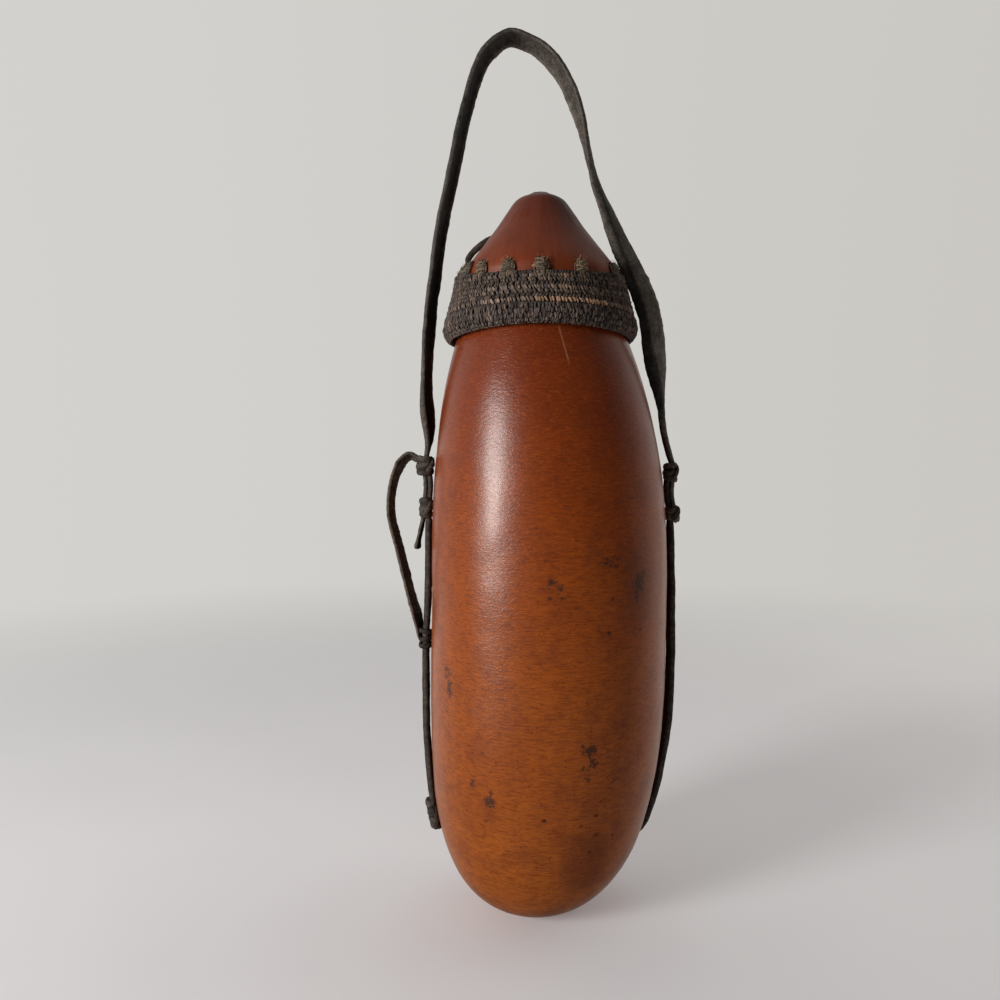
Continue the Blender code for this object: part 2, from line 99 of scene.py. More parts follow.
# Rows of x, y, z in mm, turn in degrees, width and thickness in mm
HANDLE_ROUTE = (
    (-52.4, 1.5, 158.0, -30, 3.6, 2.6), (-51.5, 1.5, 162.5, -30, 2.2, 1.5),
    (-50.2, 2.0, 168.5, -15, 3.0, 1.6), (-49.2, 2.0, 174.5, 0, 4.0, 1.9),
    (-48.3, 2.0, 186.2, 0, 4.0, 1.9), (-49.0, 2.0, 194.8, 0, 4.0, 1.9),
    (-47.6, 2.0, 201.5, 0, 5.0, 2.2), (-47.0, 2.0, 209.0, -10, 8.0, 2.8),
    (-48.2, 2.0, 222.3, -14, 9.5, 3.0), (-48.0, 2.0, 235.6, -16, 10.0, 3.0),
    (-46.1, 1.0, 261.9, -18, 10.5, 3.0), (-41.9, 0.0, 294.4, -18, 10.5, 3.0),
    (-34.1, 0.0, 333.3, -18, 10.5, 3.0), (-29.5, 0.0, 352.7, -18, 10.5, 3.0),
    (-25.6, 0.0, 365.5, -16, 10.8, 3.0), (-20.6, 0.0, 375.4, -12, 11.0, 3.0),
    (-11.6, 0.0, 381.8, -8, 11.0, 3.0), (-3.0, 0.0, 379.8, -8, 11.0, 3.0),
    (5.4, 0.0, 374.4, -10, 11.0, 3.0), (12.2, 0.0, 366.2, -12, 11.0, 3.0),
    (17.2, 0.0, 356.0, -12, 10.8, 3.0), (20.5, 0.0, 346.0, -8, 10.5, 3.0),
    (22.7, 0.0, 335.9, 2, 10.5, 3.0), (25.1, 0.0, 325.6, 10, 10.5, 3.0),
    (28.4, -2.0, 314.5, 26, 10.8, 3.0), (36.6, -6.0, 292.7, 52, 11.2, 3.0),
    (45.6, -9.0, 271.4, 64, 11.5, 3.0), (49.0, -9.0, 261.2, 68, 11.5, 3.0),
    (51.2, -8.0, 251.2, 62, 11.5, 3.0), (53.2, -5.5, 241.2, 44, 11.0, 3.0),
    (54.9, -3.0, 231.0, 26, 10.5, 3.0), (56.0, -1.0, 220.7, 12, 9.0, 3.0),
    (57.4, 0.5, 211.5, 4, 7.0, 2.7), (60.0, 1.0, 201.5, 0, 5.0, 2.2),
    (61.9, 1.0, 194.0, 0, 4.0, 1.9), (61.3, 1.0, 183.0, 0, 4.0, 1.9),
    (62.7, 1.0, 174.0, 0, 4.0, 1.9), (63.0, 1.0, 169.8, 0, 3.6, 1.6),
)
SIDE_STRAP_ROUTE = (
    (-45.0, 2.0, 40.8, 0, 5.6, 2.2), (-46.1, 2.0, 50.0, 0, 7.5, 2.7),
    (-47.1, 2.0, 60.0, 0, 7.8, 2.8), (-48.2, 2.0, 78.0, 0, 7.8, 2.8),
    (-48.4, 2.0, 94.0, 0, 7.5, 2.8), (-48.4, 2.0, 108.0, 0, 7.3, 2.5),
    (-48.4, 2.0, 118.0, 0, 7.2, 2.4), (-48.0, 2.0, 126.0, 0, 7.3, 2.5),
    (-47.4, 2.0, 136.0, 0, 7.5, 2.8), (-47.1, 2.0, 152.0, 0, 7.5, 2.8),
    (-47.0, 2.0, 168.0, 0, 6.0, 2.4), (-46.9, 2.0, 175.5, 0, 4.0, 1.9),
    (-46.1, 2.0, 186.2, 0, 4.0, 1.9), (-46.8, 2.0, 193.5, 0, 4.0, 1.9),
    (-46.7, 2.0, 196.2, 0, 3.6, 1.8),
)
THONG_ROUTE = (
    (-51.0, 2.0, 117.0, -4, 6.4, 1.0), (-51.6, 2.0, 124.0, -25, 5.8, 1.4),
    (-53.0, 2.0, 130.4, -45, 5.0, 1.6), (-55.0, 2.0, 137.2, -45, 4.6, 1.6),
    (-60.4, 2.0, 158.9, -40, 4.4, 1.6), (-63.3, 2.0, 170.0, -40, 4.4, 1.6),
    (-64.0, 2.0, 179.0, -40, 4.4, 1.6), (-62.4, 2.0, 189.0, -40, 4.6, 1.7),
    (-59.4, 2.0, 196.3, -45, 4.8, 1.8), (-56.0, 2.0, 199.5, -45, 4.4, 1.8),
    (-53.4, 2.0, 199.0, -40, 3.6, 1.7), (-51.4, 2.0, 197.2, -35, 2.8, 1.5),
)
# Rows of azimuth in degrees, height and distance off the gourd in mm, width and thickness in mm
SLING_ROUTE = (
    (268, 35.0, 2.6, 4.6, 2.0), (258, 32.5, 2.1, 6.4, 2.6), (240, 26.5, 1.9, 7.8, 2.8),
    (215, 19.5, 1.9, 8.0, 2.8), (190, 16.5, 1.9, 8.0, 2.8), (165, 16.0, 1.9, 8.0, 2.8),
    (143, 18.0, 1.9, 8.0, 2.8), (122, 21.5, 2.0, 8.0, 2.8), (105, 26.5, 2.2, 8.0, 2.8),
    (95, 34.5, 2.8, 8.0, 2.8), (92, 48.0, 3.1, 8.0, 2.8), (92, 65.0, 3.4, 8.0, 2.8),
    (91, 84.0, 3.8, 8.0, 2.8), (91, 108.0, 3.7, 8.0, 2.8),
    (91, 135.0, 3.0, 8.0, 2.8), (91, 155.0, 2.7, 7.6, 2.8), (91, 166.0, 3.0, 5.6, 2.4),
    (91, 174.0, 3.2, 4.0, 1.9), (91, 183.0, 2.5, 4.0, 1.9), (91, 191.5, 4.0, 4.0, 1.9),
    (91, 194.0, 4.1, 3.6, 1.8),
)
LID_LOOP_AZIMUTH = 266
# Rows of height, distance off the lid, width and thickness in mm
LID_LOOP_ROUTE = (
    (296.2, -2.2, 3.0, 1.5), (295.4, -0.2, 3.0, 1.5), (293.6, 2.0, 3.2, 1.6), (290.4, 3.5, 3.4, 1.6),
    (287.0, 3.5, 3.4, 1.6), (284.6, 2.0, 3.2, 1.5), (283.6, -0.2, 3.0, 1.5), (283.4, -2.2, 3.0, 1.5),
)
# Knots: name, centre x, y, z, half sizes across, along Y and up, all in mm, lean in degrees, turns
KNOTS = (
    ("knot_left_upper", (-48.4, 2.0, 195.4), (4.2, 4.0, 4.0), 0, 3),
    ("knot_left_lower", (-48.2, 2.0, 176.6), (3.2, 3.9, 4.2), 0, 3),
    ("knot_right_upper", (60.8, 1.0, 192.4), (3.3, 3.9, 3.9), 0, 3),
    ("knot_right_lower", (61.8, 1.0, 174.0), (3.4, 3.8, 3.2), 0, 2),
    ("knot_base_left", (-45.3, 3.0, 37.4), (2.7, 4.8, 6.9), 13, 4),
)
# The thong's lower end goes round the side strap in three turns
WRAP_TURNS = 3
WRAP_CENTRE = (-0.0484, 0.002, 0.1150)
WRAP_SPACING = 0.0030
WRAP_RADII = (0.0027, 0.0048)

# The camera that the photo's outline was fitted with
CAMERA_PLACE = (-0.0151, -0.346, 0.1934)
CAMERA_TILT = 90 - 2.209
CAMERA_LENS = 28
# The height that the lights aim at
AIM_HEIGHT = 0.17


# Curves and small vector helpers

def clamp(value, low=0.0, high=1.0):
    return max(low, min(high, value))


def smooth(value, low, high):
    t = clamp((value - low) / (high - low))
    return t * t * (3 - 2 * t)


def outward_at(azimuth):
    return Vector((math.sin(azimuth), -math.cos(azimuth), 0))


def full_turn(count):
    """Angles at even steps round a full turn."""
    return [2 * math.pi * i / count for i in range(count)]


def around(x, azimuth, radius, z):
    """A point at a radius round an upright axis at x."""
    return Vector((x, 0, z)) + outward_at(azimuth) * radius


def oval(out, wide, deep, angle):
    """A point of an ellipse round its middle, with out and +Y as its axes."""
    return out * (wide * math.cos(angle)) + BACK * (deep * math.sin(angle))


def heading(points, i):
    """The direction of a line of points at one of them."""
    return (points[min(i + 1, len(points) - 1)] - points[max(i - 1, 0)]).normalized()


def spline(rows, t):
    """A smooth curve through the rows of numbers, read at t from 0 to the last row's index."""
    k = min(int(t), len(rows) - 2)
    u = t - k
    a, b = rows[max(k - 1, 0)], rows[k]
    c, d = rows[k + 1], rows[min(k + 2, len(rows) - 1)]
    return [
        0.5 * (2 * q + (r - p) * u + (2 * p - 5 * q + 4 * r - s) * u * u
               + (3 * q - p - 3 * r + s) * u ** 3)
        for p, q, r, s in zip(a, b, c, d)
    ]


def spline_rows(rows, steps):
    last = len(rows) - 1
    return [spline(rows, last * i / steps) for i in range(steps + 1)]


def curve_radius(outline, z):
    rows = sorted(outline, key=lambda row: row[1])
    if z <= rows[0][1]:
        return rows[0][0]
    for (r0, z0), (r1, z1) in zip(rows, rows[1:]):
        if z <= z1:
            return r0 + (r1 - r0) * (z - z0) / (z1 - z0)
    return rows[-1][0]


def body_radius(z):
    if z < WIDEST_HEIGHT:
        depth = (WIDEST_HEIGHT - z) / LOWER_LENGTH
        return BODY_RADIUS * (1 - depth ** LOWER_POWERS[0]) ** (1 / LOWER_POWERS[1])
    height = (z - WIDEST_HEIGHT) / UPPER_LENGTH
    return max(NECK_RADIUS, BODY_RADIUS * (1 - height ** UPPER_POWER))


def hollow_radius(z):
    inner = BODY_RADIUS - BODY_WALL
    if z < WIDEST_HEIGHT:
        depth = (WIDEST_HEIGHT - z) / (WIDEST_HEIGHT - FLOOR_WALL)
        return inner * max(0.0, 1 - depth ** LOWER_POWERS[0]) ** (1 / LOWER_POWERS[1])
    return max(MOUTH_RADIUS, body_radius(z) - BODY_WALL)


def lean(z):
    bowed = LEAN_AT_BOW * (1 - ((z - BOW_HEIGHT) / BOW_HEIGHT) ** 2)
    return bowed + (HEAD_X - bowed) * clamp((z - NECK_START) / (NECK_FOOT - NECK_START))


def body_point(azimuth, z, off=0.0):
    """A point off the gourd's surface, and the surface's normal there."""
    slope = (body_radius(z + 0.0005) - body_radius(z - 0.0005)) / 0.001
    normal = (outward_at(azimuth) - Vector((0, 0, slope))).normalized()
    return around(lean(z), azimuth, body_radius(z), z) + normal * off, normal


# Meshes

SHARP_EDGE = 60


def put(name, data):
    """A new object in the scene."""
    made = bpy.data.objects.new(name, data)
    bpy.context.scene.collection.objects.link(made)
    return made


class Shape:
    """Points and faces of one piece. Each point has a paleness and a warmth for its material."""

    def __init__(self):
        self.points, self.faces, self.pale, self.warm = [], [], [], []

    def ring(self, points, pale=0.0, warm=0.0):
        first = len(self.points)
        self.points += points
        self.pale += pale if isinstance(pale, list) else [pale] * len(points)
        self.warm += warm if isinstance(warm, list) else [warm] * len(points)
        return list(range(first, first + len(points)))

    def join(self, lower, upper):
        count = max(len(lower), len(upper))
        for i in range(count):
            j = (i + 1) % count
            around_face = ((lower, i), (lower, j), (upper, j), (upper, i))
            corners = [ring[k % len(ring)] for ring, k in around_face]
            self.faces.append(list(dict.fromkeys(corners)))

    def chain(self, rings, closed=False):
        """Joins rings of indices one to the next, and caps the ends or closes the circle."""
        for lower, upper in zip(rings, rings[1:]):
            self.join(lower, upper)
        if closed:
            self.join(rings[-1], rings[0])
        else:
            for ring in (rings[0][::-1], rings[-1]):
                if len(ring) > 2:
                    self.faces.append(ring)

    def tube(self, path, normals, wide, thick, pale, warm, sides=6, closed=False, ends=0.55):
        """A rounded strand along a path, wide across its normals and thick along them.

        wide is one width or a list with a width for each point of the path.
        """
        rings = []
        last = len(path) - 1
        for i, (point, normal) in enumerate(zip(path, normals)):
            ahead = path[(i + 1) % len(path)] if closed else path[min(i + 1, last)]
            behind = path[i - 1] if closed else path[max(i - 1, 0)]
            along = (ahead - behind).normalized()
            across = along.cross(normal).normalized()
            up = across.cross(along)
            size = 1.0 if closed or 0 < i < last else ends
            w = (wide[i] if isinstance(wide, list) else wide) * 0.5 * size
            t = thick * 0.5 * size
            ring = []
            for j in range(sides):
                angle = 2 * math.pi * (j + 0.5) / sides
                ring.append(point + across * (w * math.cos(angle)) + up * (t * math.sin(angle)))
            rings.append(self.ring(ring, pale, warm))
        self.chain(rings, closed)

    def build(self, name, material, slot):
        mesh = bmesh.new()
        verts = [mesh.verts.new(point) for point in self.points]
        for face in self.faces:
            mesh.faces.new([verts[i] for i in face])
        bmesh.ops.recalc_face_normals(mesh, faces=mesh.faces)
        data = bpy.data.meshes.new(name)
        mesh.to_mesh(data)
        mesh.free()
        for label, values in (("pale", self.pale), ("warm", self.warm)):
            data.attributes.new(label, "FLOAT", "POINT").data.foreach_set("value", values)
        data.shade_smooth()
        data.set_sharp_from_angle(angle=math.radians(SHARP_EDGE))
        data.materials.append(material)
        piece = put(name, data)
        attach(piece, "root")
        return piece


# Materials

RANGE_SOCKETS = ("Value", "From Min", "From Max", "To Min", "To Max")


class Nodes:
    """A node tree, with short calls that add a node and give its output."""

    def __init__(self, tree, coordinates):
        self.nodes, self.links = tree.nodes, tree.links
        self.place = self.add("ShaderNodeTexCoord").outputs[coordinates]

    def feed(self, socket, value):
        if isinstance(value, bpy.types.NodeSocket):
            self.links.new(value, socket)
        else:
            socket.default_value = value

    def add(self, kind, **settings):
        node = self.nodes.new(kind)
        for key, value in settings.items():
            setattr(node, key, value)
        return node

    def parts(self):
        """The X, Y and Z of the place that is shaded."""
        node = self.add("ShaderNodeSeparateXYZ")
        self.feed(node.inputs[0], self.place)
        return node.outputs

    def math(self, operation, a, b, clamped=False):
        node = self.add("ShaderNodeMath", operation=operation, use_clamp=clamped)
        self.feed(node.inputs[0], a)
        self.feed(node.inputs[1], b)
        return node.outputs[0]

    def vector(self, operation, a, b):
        node = self.add("ShaderNodeVectorMath", operation=operation)
        self.feed(node.inputs[0], a)
        self.feed(node.inputs[1], b)
        return node.outputs["Value" if operation in ("DOT_PRODUCT", "DISTANCE", "LENGTH") else "Vector"]

    def noise(self, scale, detail=3.0, roughness=0.55, place=None, warp=0.0):
        """Noise with its own scale along each axis, per metre."""
        scale = scale if isinstance(scale, tuple) else (scale,) * 3
        spread = self.vector("MULTIPLY", place or self.place, scale)
        node = self.add("ShaderNodeTexNoise")
        self.feed(node.inputs["Vector"], spread)
        self.feed(node.inputs["Scale"], 1.0)
        self.feed(node.inputs["Detail"], detail)
        self.feed(node.inputs["Roughness"], roughness)
        self.feed(node.inputs["Distortion"], warp)
        return node.outputs["Fac"]

    def between(self, value, low, high, start=0.0, end=1.0, kind="SMOOTHSTEP"):
        node = self.add("ShaderNodeMapRange", interpolation_type=kind)
        for key, number in zip(RANGE_SOCKETS, (value, low, high, start, end)):
            self.feed(node.inputs[key], number)
        return node.outputs["Result"]

    def mix(self, factor, a, b, blend="MIX"):
        node = self.add("ShaderNodeMix", data_type="RGBA", blend_type=blend)
        self.feed(node.inputs["Factor"], factor)
        self.feed(node.inputs[6], a if isinstance(a, bpy.types.NodeSocket) else (*a, 1.0))
        self.feed(node.inputs[7], b if isinstance(b, bpy.types.NodeSocket) else (*b, 1.0))
        return node.outputs[2]

    def stain(self, colour, mask, strength, shade):
        """Turns a colour towards a shade where the mask is."""
        return self.mix(self.math("MULTIPLY", mask, strength), colour, shade)

    def fleck(self, colour, value, low, high, strength, shade):
        """Turns a colour towards a shade where a value rises from low to high."""
        return self.mix(self.between(value, low, high, 0.0, strength), colour, shade)

    def sway(self, base, noise, amount, clamped=False):
        """Moves a value up and down by a noise."""
        moved = self.math("MULTIPLY", self.math("SUBTRACT", noise, 0.5), amount)
        return self.math("ADD", base, moved, clamped)

    def ramp(self, factor, stops):
        node = self.add("ShaderNodeValToRGB")
        while len(node.color_ramp.elements) < len(stops):
            node.color_ramp.elements.new(0.5)
        for element, (position, colour) in zip(node.color_ramp.elements, stops):
            element.position = position
            element.color = (*colour, 1.0)
        self.feed(node.inputs["Fac"], factor)
        return node.outputs["Color"]

    def attribute(self, name):
        return self.add("ShaderNodeAttribute", attribute_name=name).outputs["Fac"]

    def relief(self, *rows):
        """Bumps one on the other, from rows of height, strength and distance."""
        normal = None
        for height, strength, distance in rows:
            node = self.add("ShaderNodeBump")
            self.feed(node.inputs["Height"], height)
            self.feed(node.inputs["Strength"], strength)
            self.feed(node.inputs["Distance"], distance)
            if normal is not None:
                self.links.new(normal, node.inputs["Normal"])
            normal = node.outputs["Normal"]
        return normal


class Look(Nodes):
    """A material's nodes."""

    def __init__(self, name):
        self.material = bpy.data.materials.new(name)
        self.material.use_nodes = True
        super().__init__(self.material.node_tree, "Object")
        self.shader = self.nodes["Principled BSDF"]

    def finish(self, colour, roughness, normal=None, **constants):
        self.feed(self.shader.inputs["Base Color"], colour)
        self.feed(self.shader.inputs["Roughness"], roughness)
        if normal is not None:
            self.feed(self.shader.inputs["Normal"], normal)
        for key, value in constants.items():
            self.feed(self.shader.inputs[key.replace("_", " ").title().replace("Ior", "IOR")], value)
        return self.material


# Dark marks on the shell: azimuth in degrees, height in mm, half width and half height in mm, strength
SMUDGES = (
    (-2.1, 150.7, 2.6, 1.6, 1.0), (1.6, 148.6, 2.0, 1.6, 0.75), (-6.9, 148.2, 2.2, 1.0, 0.5),
    (-3.4, 144.6, 2.4, 1.2, 0.55), (2.4, 144.4, 2.0, 1.3, 0.55), (-0.8, 147.4, 5.5, 5.5, 0.35),
    (12.8, 146.2, 2.6, 2.2, 0.4), (8.6, 141.0, 2.8, 1.6, 0.4), (24.2, 158.0, 6.5, 3.4, 0.6),
    (39.5, 147.4, 4.2, 7.5, 0.85), (41.5, 152.0, 3.6, 2.6, 0.5), (-56.0, 110.5, 3.6, 5.0, 0.6),
    (-54.0, 103.6, 2.6, 5.4, 0.9), (-55.5, 96.0, 3.8, 6.0, 0.35), (-53.3, 84.4, 2.0, 3.0, 0.4),
    (-37.7, 68.6, 2.2, 3.4, 0.6), (-27.6, 66.4, 1.5, 2.6, 0.6), (-28.2, 62.0, 3.6, 2.9, 1.0),
    (12.9, 86.2, 1.8, 3.6, 0.6), (16.6, 84.6, 3.4, 3.4, 0.95), (18.4, 79.6, 3.0, 3.0, 0.7),
    (14.2, 76.0, 3.4, 3.6, 0.45), (16.2, 73.0, 1.6, 1.6, 0.65), (35.7, 74.7, 3.6, 2.0, 0.4),
    (30.1, 71.0, 2.6, 2.4, 0.35), (1.7, 40.8, 2.6, 1.8, 0.4), (142.0, 96.0, 6.0, 3.4, 0.7),
    (205.0, 150.0, 3.0, 7.0, 0.7), (176.0, 64.0, 5.0, 3.0, 0.6), (228.0, 118.0, 2.4, 2.2, 0.8),
    (112.0, 178.0, 2.6, 5.0, 0.5),
)
# Pin-sized dark spots: azimuth in degrees, height in mm, radius in mm, strength
SPOTS = (
    (24.9, 143.6, 0.8, 0.8), (-4.5, 158.8, 0.7, 0.5), (23.6, 130.3, 0.9, 0.8), (18.4, 131.6, 0.7, 0.5),
    (40.9, 130.2, 1.1, 0.6), (38.0, 131.0, 0.8, 0.5), (-25.5, 78.9, 0.8, 0.5), (-30.4, 53.9, 0.8, 0.5),
    (-2.5, 57.3, 1.0, 1.0), (22.2, 57.8, 1.1, 0.8), (15.0, 54.2, 0.8, 0.7), (23.8, 63.3, 0.7, 0.6),
    (23.5, 49.4, 1.2, 0.6), (33.9, 47.0, 0.8, 0.6), (21.7, 42.1, 0.9, 0.7), (150.0, 120.0, 1.0, 0.9),
    (190.0, 88.0, 0.9, 0.8), (214.0, 186.0, 0.8, 0.8),
)
# Broad stains: azimuth, height in mm, half width and half height in mm, strength
STAINS = (
    (20.3, 36.0, 12.0, 22.0, 0.5), (40.0, 150.0, 14.0, 26.0, 0.35), (170.0, 40.0, 16.0, 20.0, 0.45),
)
# The scratch's ends: azimuth in degrees and height in mm
SCRATCH = ((7.5, 250.1), (10.5, 235.5))


def spread_mask(look, azimuth, z, half_wide, half_high):
    """1 at a place on the shell, falling to 0 at the edge of an upright ellipse around it."""
    middle = body_point(math.radians(azimuth), z * MM)[0]
    away = look.vector("SUBTRACT", look.place, tuple(middle))
    scale = (1 / (half_wide * MM), 1 / (half_wide * MM), 1 / (half_high * MM))
    distance = look.vector("LENGTH", look.vector("MULTIPLY", away, scale), (0, 0, 0))
    return look.between(distance, 1.35, 0.0)


def strongest(look, rows):
    """The strongest of the rows' masks: azimuth, height, half width, half height, strength."""
    total = 0.0
    for azimuth, z, half_wide, half_high, strength in rows:
        mask = look.math("MULTIPLY", spread_mask(look, azimuth, z, half_wide, half_high), strength)
        total = look.math("MAXIMUM", mask, total)
    return total


def broken_up(look, total, breakup, gain, soft, weight=1.0):
    """A mask with its edge broken up by a noise."""
    raised = look.math("ADD", look.math("MULTIPLY", total, weight), breakup)
    broken = look.between(raised, gain, gain + soft)
    return look.math("MULTIPLY", broken, look.between(total, 0.0, 0.3), True)


def scratch_mask(look):
    """1 along the scratch's line, falling off to its sides and past its ends."""
    start, end = (body_point(math.radians(a), h * MM)[0] for a, h in SCRATCH)
    run = (end - start).normalized()
    away = look.vector("SUBTRACT", look.place, tuple(start))
    travelled = look.vector("DOT_PRODUCT", away, tuple(run))
    foot = look.add("ShaderNodeVectorMath", operation="SCALE")
    look.feed(foot.inputs[0], tuple(run))
    look.feed(foot.inputs["Scale"], travelled)
    aside = look.vector("DISTANCE", away, foot.outputs["Vector"])
    begun, unended = look.between(travelled, -0.002, 0.003), look.between(travelled, 0.018, 0.013)
    wobble = look.math("MULTIPLY", look.noise(300, 2), 0.0006)
    beside = look.between(look.math("SUBTRACT", aside, wobble), 0.00020, 0.0)
    return look.math("MULTIPLY", beside, look.math("MULTIPLY", begun, unended))


def gourd_look():
    look = Look("gourd_shell")
    height = look.math("DIVIDE", look.parts()["Z"], RIM_HEIGHT)
    height = look.sway(height, look.noise(26, 4, 0.6), 0.35)
    colour = look.ramp(height, (
        (0.00, (0.355, 0.094, 0.012)), (0.22, (0.330, 0.076, 0.006)), (0.45, (0.335, 0.070, 0.004)),
        (0.66, (0.270, 0.048, 0.004)), (0.84, (0.205, 0.031, 0.005)), (1.00, (0.172, 0.026, 0.006)),
    ))
    grain = look.noise((240, 240, 1500), 4, 0.6, warp=0.4)
    fine = look.noise((520, 520, 2600), 3, 0.6)
    mottle = look.noise(90, 5, 0.62)
    flecks = look.noise((620, 620, 1250), 2, 0.5)
    colour = look.fleck(colour, grain, 0.40, 0.66, 0.50, (0.110, 0.018, 0.004))
    colour = look.fleck(colour, fine, 0.52, 0.72, 0.42, (0.470, 0.112, 0.016))
    colour = look.fleck(colour, mottle, 0.42, 0.72, 0.40, (0.140, 0.024, 0.006))
    colour = look.fleck(colour, flecks, 0.62, 0.72, 0.60, (0.090, 0.019, 0.005))
    stains = broken_up(look, strongest(look, STAINS), look.noise(60, 4, 0.6), 0.35, 0.42)
    colour = look.stain(colour, stains, 0.45, (0.110, 0.026, 0.010))
    specks = look.between(look.noise((620, 620, 760), 3, 0.7), 0.32, 0.68)
    marked = strongest(look, SMUDGES)
    smudges = broken_up(look, marked, specks, 0.90, 0.20, 0.85)
    colour = look.stain(colour, look.between(marked, 0.12, 0.90), 0.50, (0.070, 0.020, 0.009))
    colour = look.stain(colour, smudges, 0.80, (0.050, 0.017, 0.008))
    spots = [(azimuth, z, size * 1.25, size, strength) for azimuth, z, size, strength in SPOTS]
    colour = look.mix(strongest(look, spots), colour, (0.028, 0.008, 0.006))
    colour = look.stain(colour, scratch_mask(look), 0.36, (0.50, 0.24, 0.12))
    ripple = look.noise((640, 640, 1100), 3, 0.65, warp=0.5)
    normal = look.relief((ripple, 0.6, 0.00018), (grain, 0.40, 0.00010), (smudges, -0.4, 0.0003))
    rough = look.math("ADD", 0.27, look.math("MULTIPLY", mottle, 0.10))
    rough = look.math("ADD", rough, look.math("MULTIPLY", smudges, 0.10))
    return look.finish(colour, rough, normal, specular_ior_level=0.38, coat_weight=0.08, coat_roughness=0.20)


def lid_look():
    look = Look("lid_shell")
    parts = look.parts()
    x = look.math("SUBTRACT", parts["X"], HEAD_X)
    azimuth = look.math("ARCTAN2", x, look.math("MULTIPLY", parts["Y"], -1.0))
    rolled = look.add("ShaderNodeCombineXYZ")
    look.feed(rolled.inputs["X"], look.math("MULTIPLY", azimuth, 0.030))
    look.feed(rolled.inputs["Z"], parts["Z"])
    sheet = rolled.outputs[0]
    broad = look.noise((260, 1, 28), 4, 0.6, sheet)
    thin = look.noise((1100, 1, 90), 4, 0.62, sheet, 0.3)
    mottle = look.noise(110, 5, 0.6)
    colour = look.ramp(look.between(parts["Z"], 0.270, 0.314), (
        (0.0, (0.225, 0.042, 0.011)), (0.45, (0.190, 0.034, 0.010)), (0.8, (0.155, 0.027, 0.010)),
        (1.0, (0.130, 0.023, 0.010)),
    ))
    colour = look.fleck(colour, broad, 0.42, 0.70, 0.45, (0.110, 0.019, 0.008))
    colour = look.fleck(colour, thin, 0.50, 0.72, 0.30, (0.290, 0.064, 0.018))
    colour = look.fleck(colour, mottle, 0.45, 0.72, 0.35, (0.085, 0.017, 0.008))
    colour = look.fleck(colour, look.noise((900, 900, 500), 2, 0.5), 0.70, 0.76, 0.7, (0.030, 0.009, 0.006))
    colour = look.mix(look.attribute("pale"), colour, (0.022, 0.013, 0.010))
    ripple = look.noise((500, 500, 800), 4, 0.6)
    normal = look.relief((broad, 0.35, 0.00035), (ripple, 0.45, 0.00014))
    rough = look.math("ADD", 0.40, look.math("MULTIPLY", mottle, 0.12))
    return look.finish(colour, rough, normal, specular_ior_level=0.32)


def fibre_look(name, tint):
    """Twined or wrapped fibre. The tint multiplies its grey tones."""
    look = Look(name)
    tone = look.sway(look.attribute("pale"), look.noise(1300, 4, 0.7), 0.34, True)
    grey = look.ramp(tone, (
        (0.00, (0.020, 0.016, 0.015)), (0.22, (0.082, 0.066, 0.062)), (0.50, (0.190, 0.150, 0.138)),
        (0.80, (0.400, 0.300, 0.260)), (1.00, (0.580, 0.450, 0.390)),
    ))
    tan = look.ramp(tone, (
        (0.00, (0.022, 0.014, 0.009)), (0.22, (0.092, 0.060, 0.036)), (0.50, (0.240, 0.140, 0.075)),
        (0.80, (0.500, 0.280, 0.150)), (1.00, (0.680, 0.400, 0.230)),
    ))
    grey = look.mix(1.0, grey, tint, "MULTIPLY")
    colour = look.mix(look.attribute("warm"), grey, tan)
    normal = look.relief((look.noise(2600, 3, 0.7), 0.6, 0.00016))
    return look.finish(colour, 0.86, normal, specular_ior_level=0.3)


def leather_look(name, contrast):
    """Hide with worn patches, whose paleness attribute also carries painted light and shade on the handle
    and knots. More contrast makes its pores stand out from them.
    """
    look = Look(name)
    blotch = look.noise(170, 5, 0.65)
    pores = look.noise(1150, 4, 0.7)
    # worn mixes wear with the paleness attribute, which on the handle and knots holds painted shade and
    # painted light.
    worn = look.sway(look.sway(look.attribute("pale"), blotch, 0.55), pores, 0.85 + contrast)
    grit = look.math("SUBTRACT", look.noise(520, 3, 0.65), 0.5)
    worn = look.math("ADD", worn, look.math("MULTIPLY", grit, 0.75), True)
    grey = look.ramp(worn, (
        (0.00, (0.0085, 0.0070, 0.0060)), (0.30, (0.030, 0.025, 0.021)), (0.60, (0.085, 0.073, 0.062)),
        (1.00, (0.210, 0.185, 0.155)),
    ))
    brown = look.ramp(worn, (
        (0.00, (0.011, 0.0065, 0.0050)), (0.30, (0.036, 0.021, 0.014)), (0.60, (0.095, 0.066, 0.046)),
        (1.00, (0.220, 0.165, 0.120)),
    ))
    colour = look.mix(look.attribute("warm"), grey, brown)
    normal = look.relief((blotch, 0.4, 0.0005), (grit, 0.8, 0.0006), (pores, 0.7, 0.00025))
    rough = look.math("ADD", 0.62, look.math("MULTIPLY", pores, 0.25))
    return look.finish(colour, rough, normal, specular_ior_level=0.35)


# Gourd and lid

def wavy(azimuth, z, sizes):
    """Slow unevenness of a grown shell, in metres, from rows of scale along Z and amplitude."""
    total = 0.0
    for k, (scale, amount) in enumerate(sizes):
        place = outward_at(azimuth) * (scale * 0.045) + Vector((k * 7.3, 3.1, z * scale))
        total += amount * noise.noise(place)
    return total


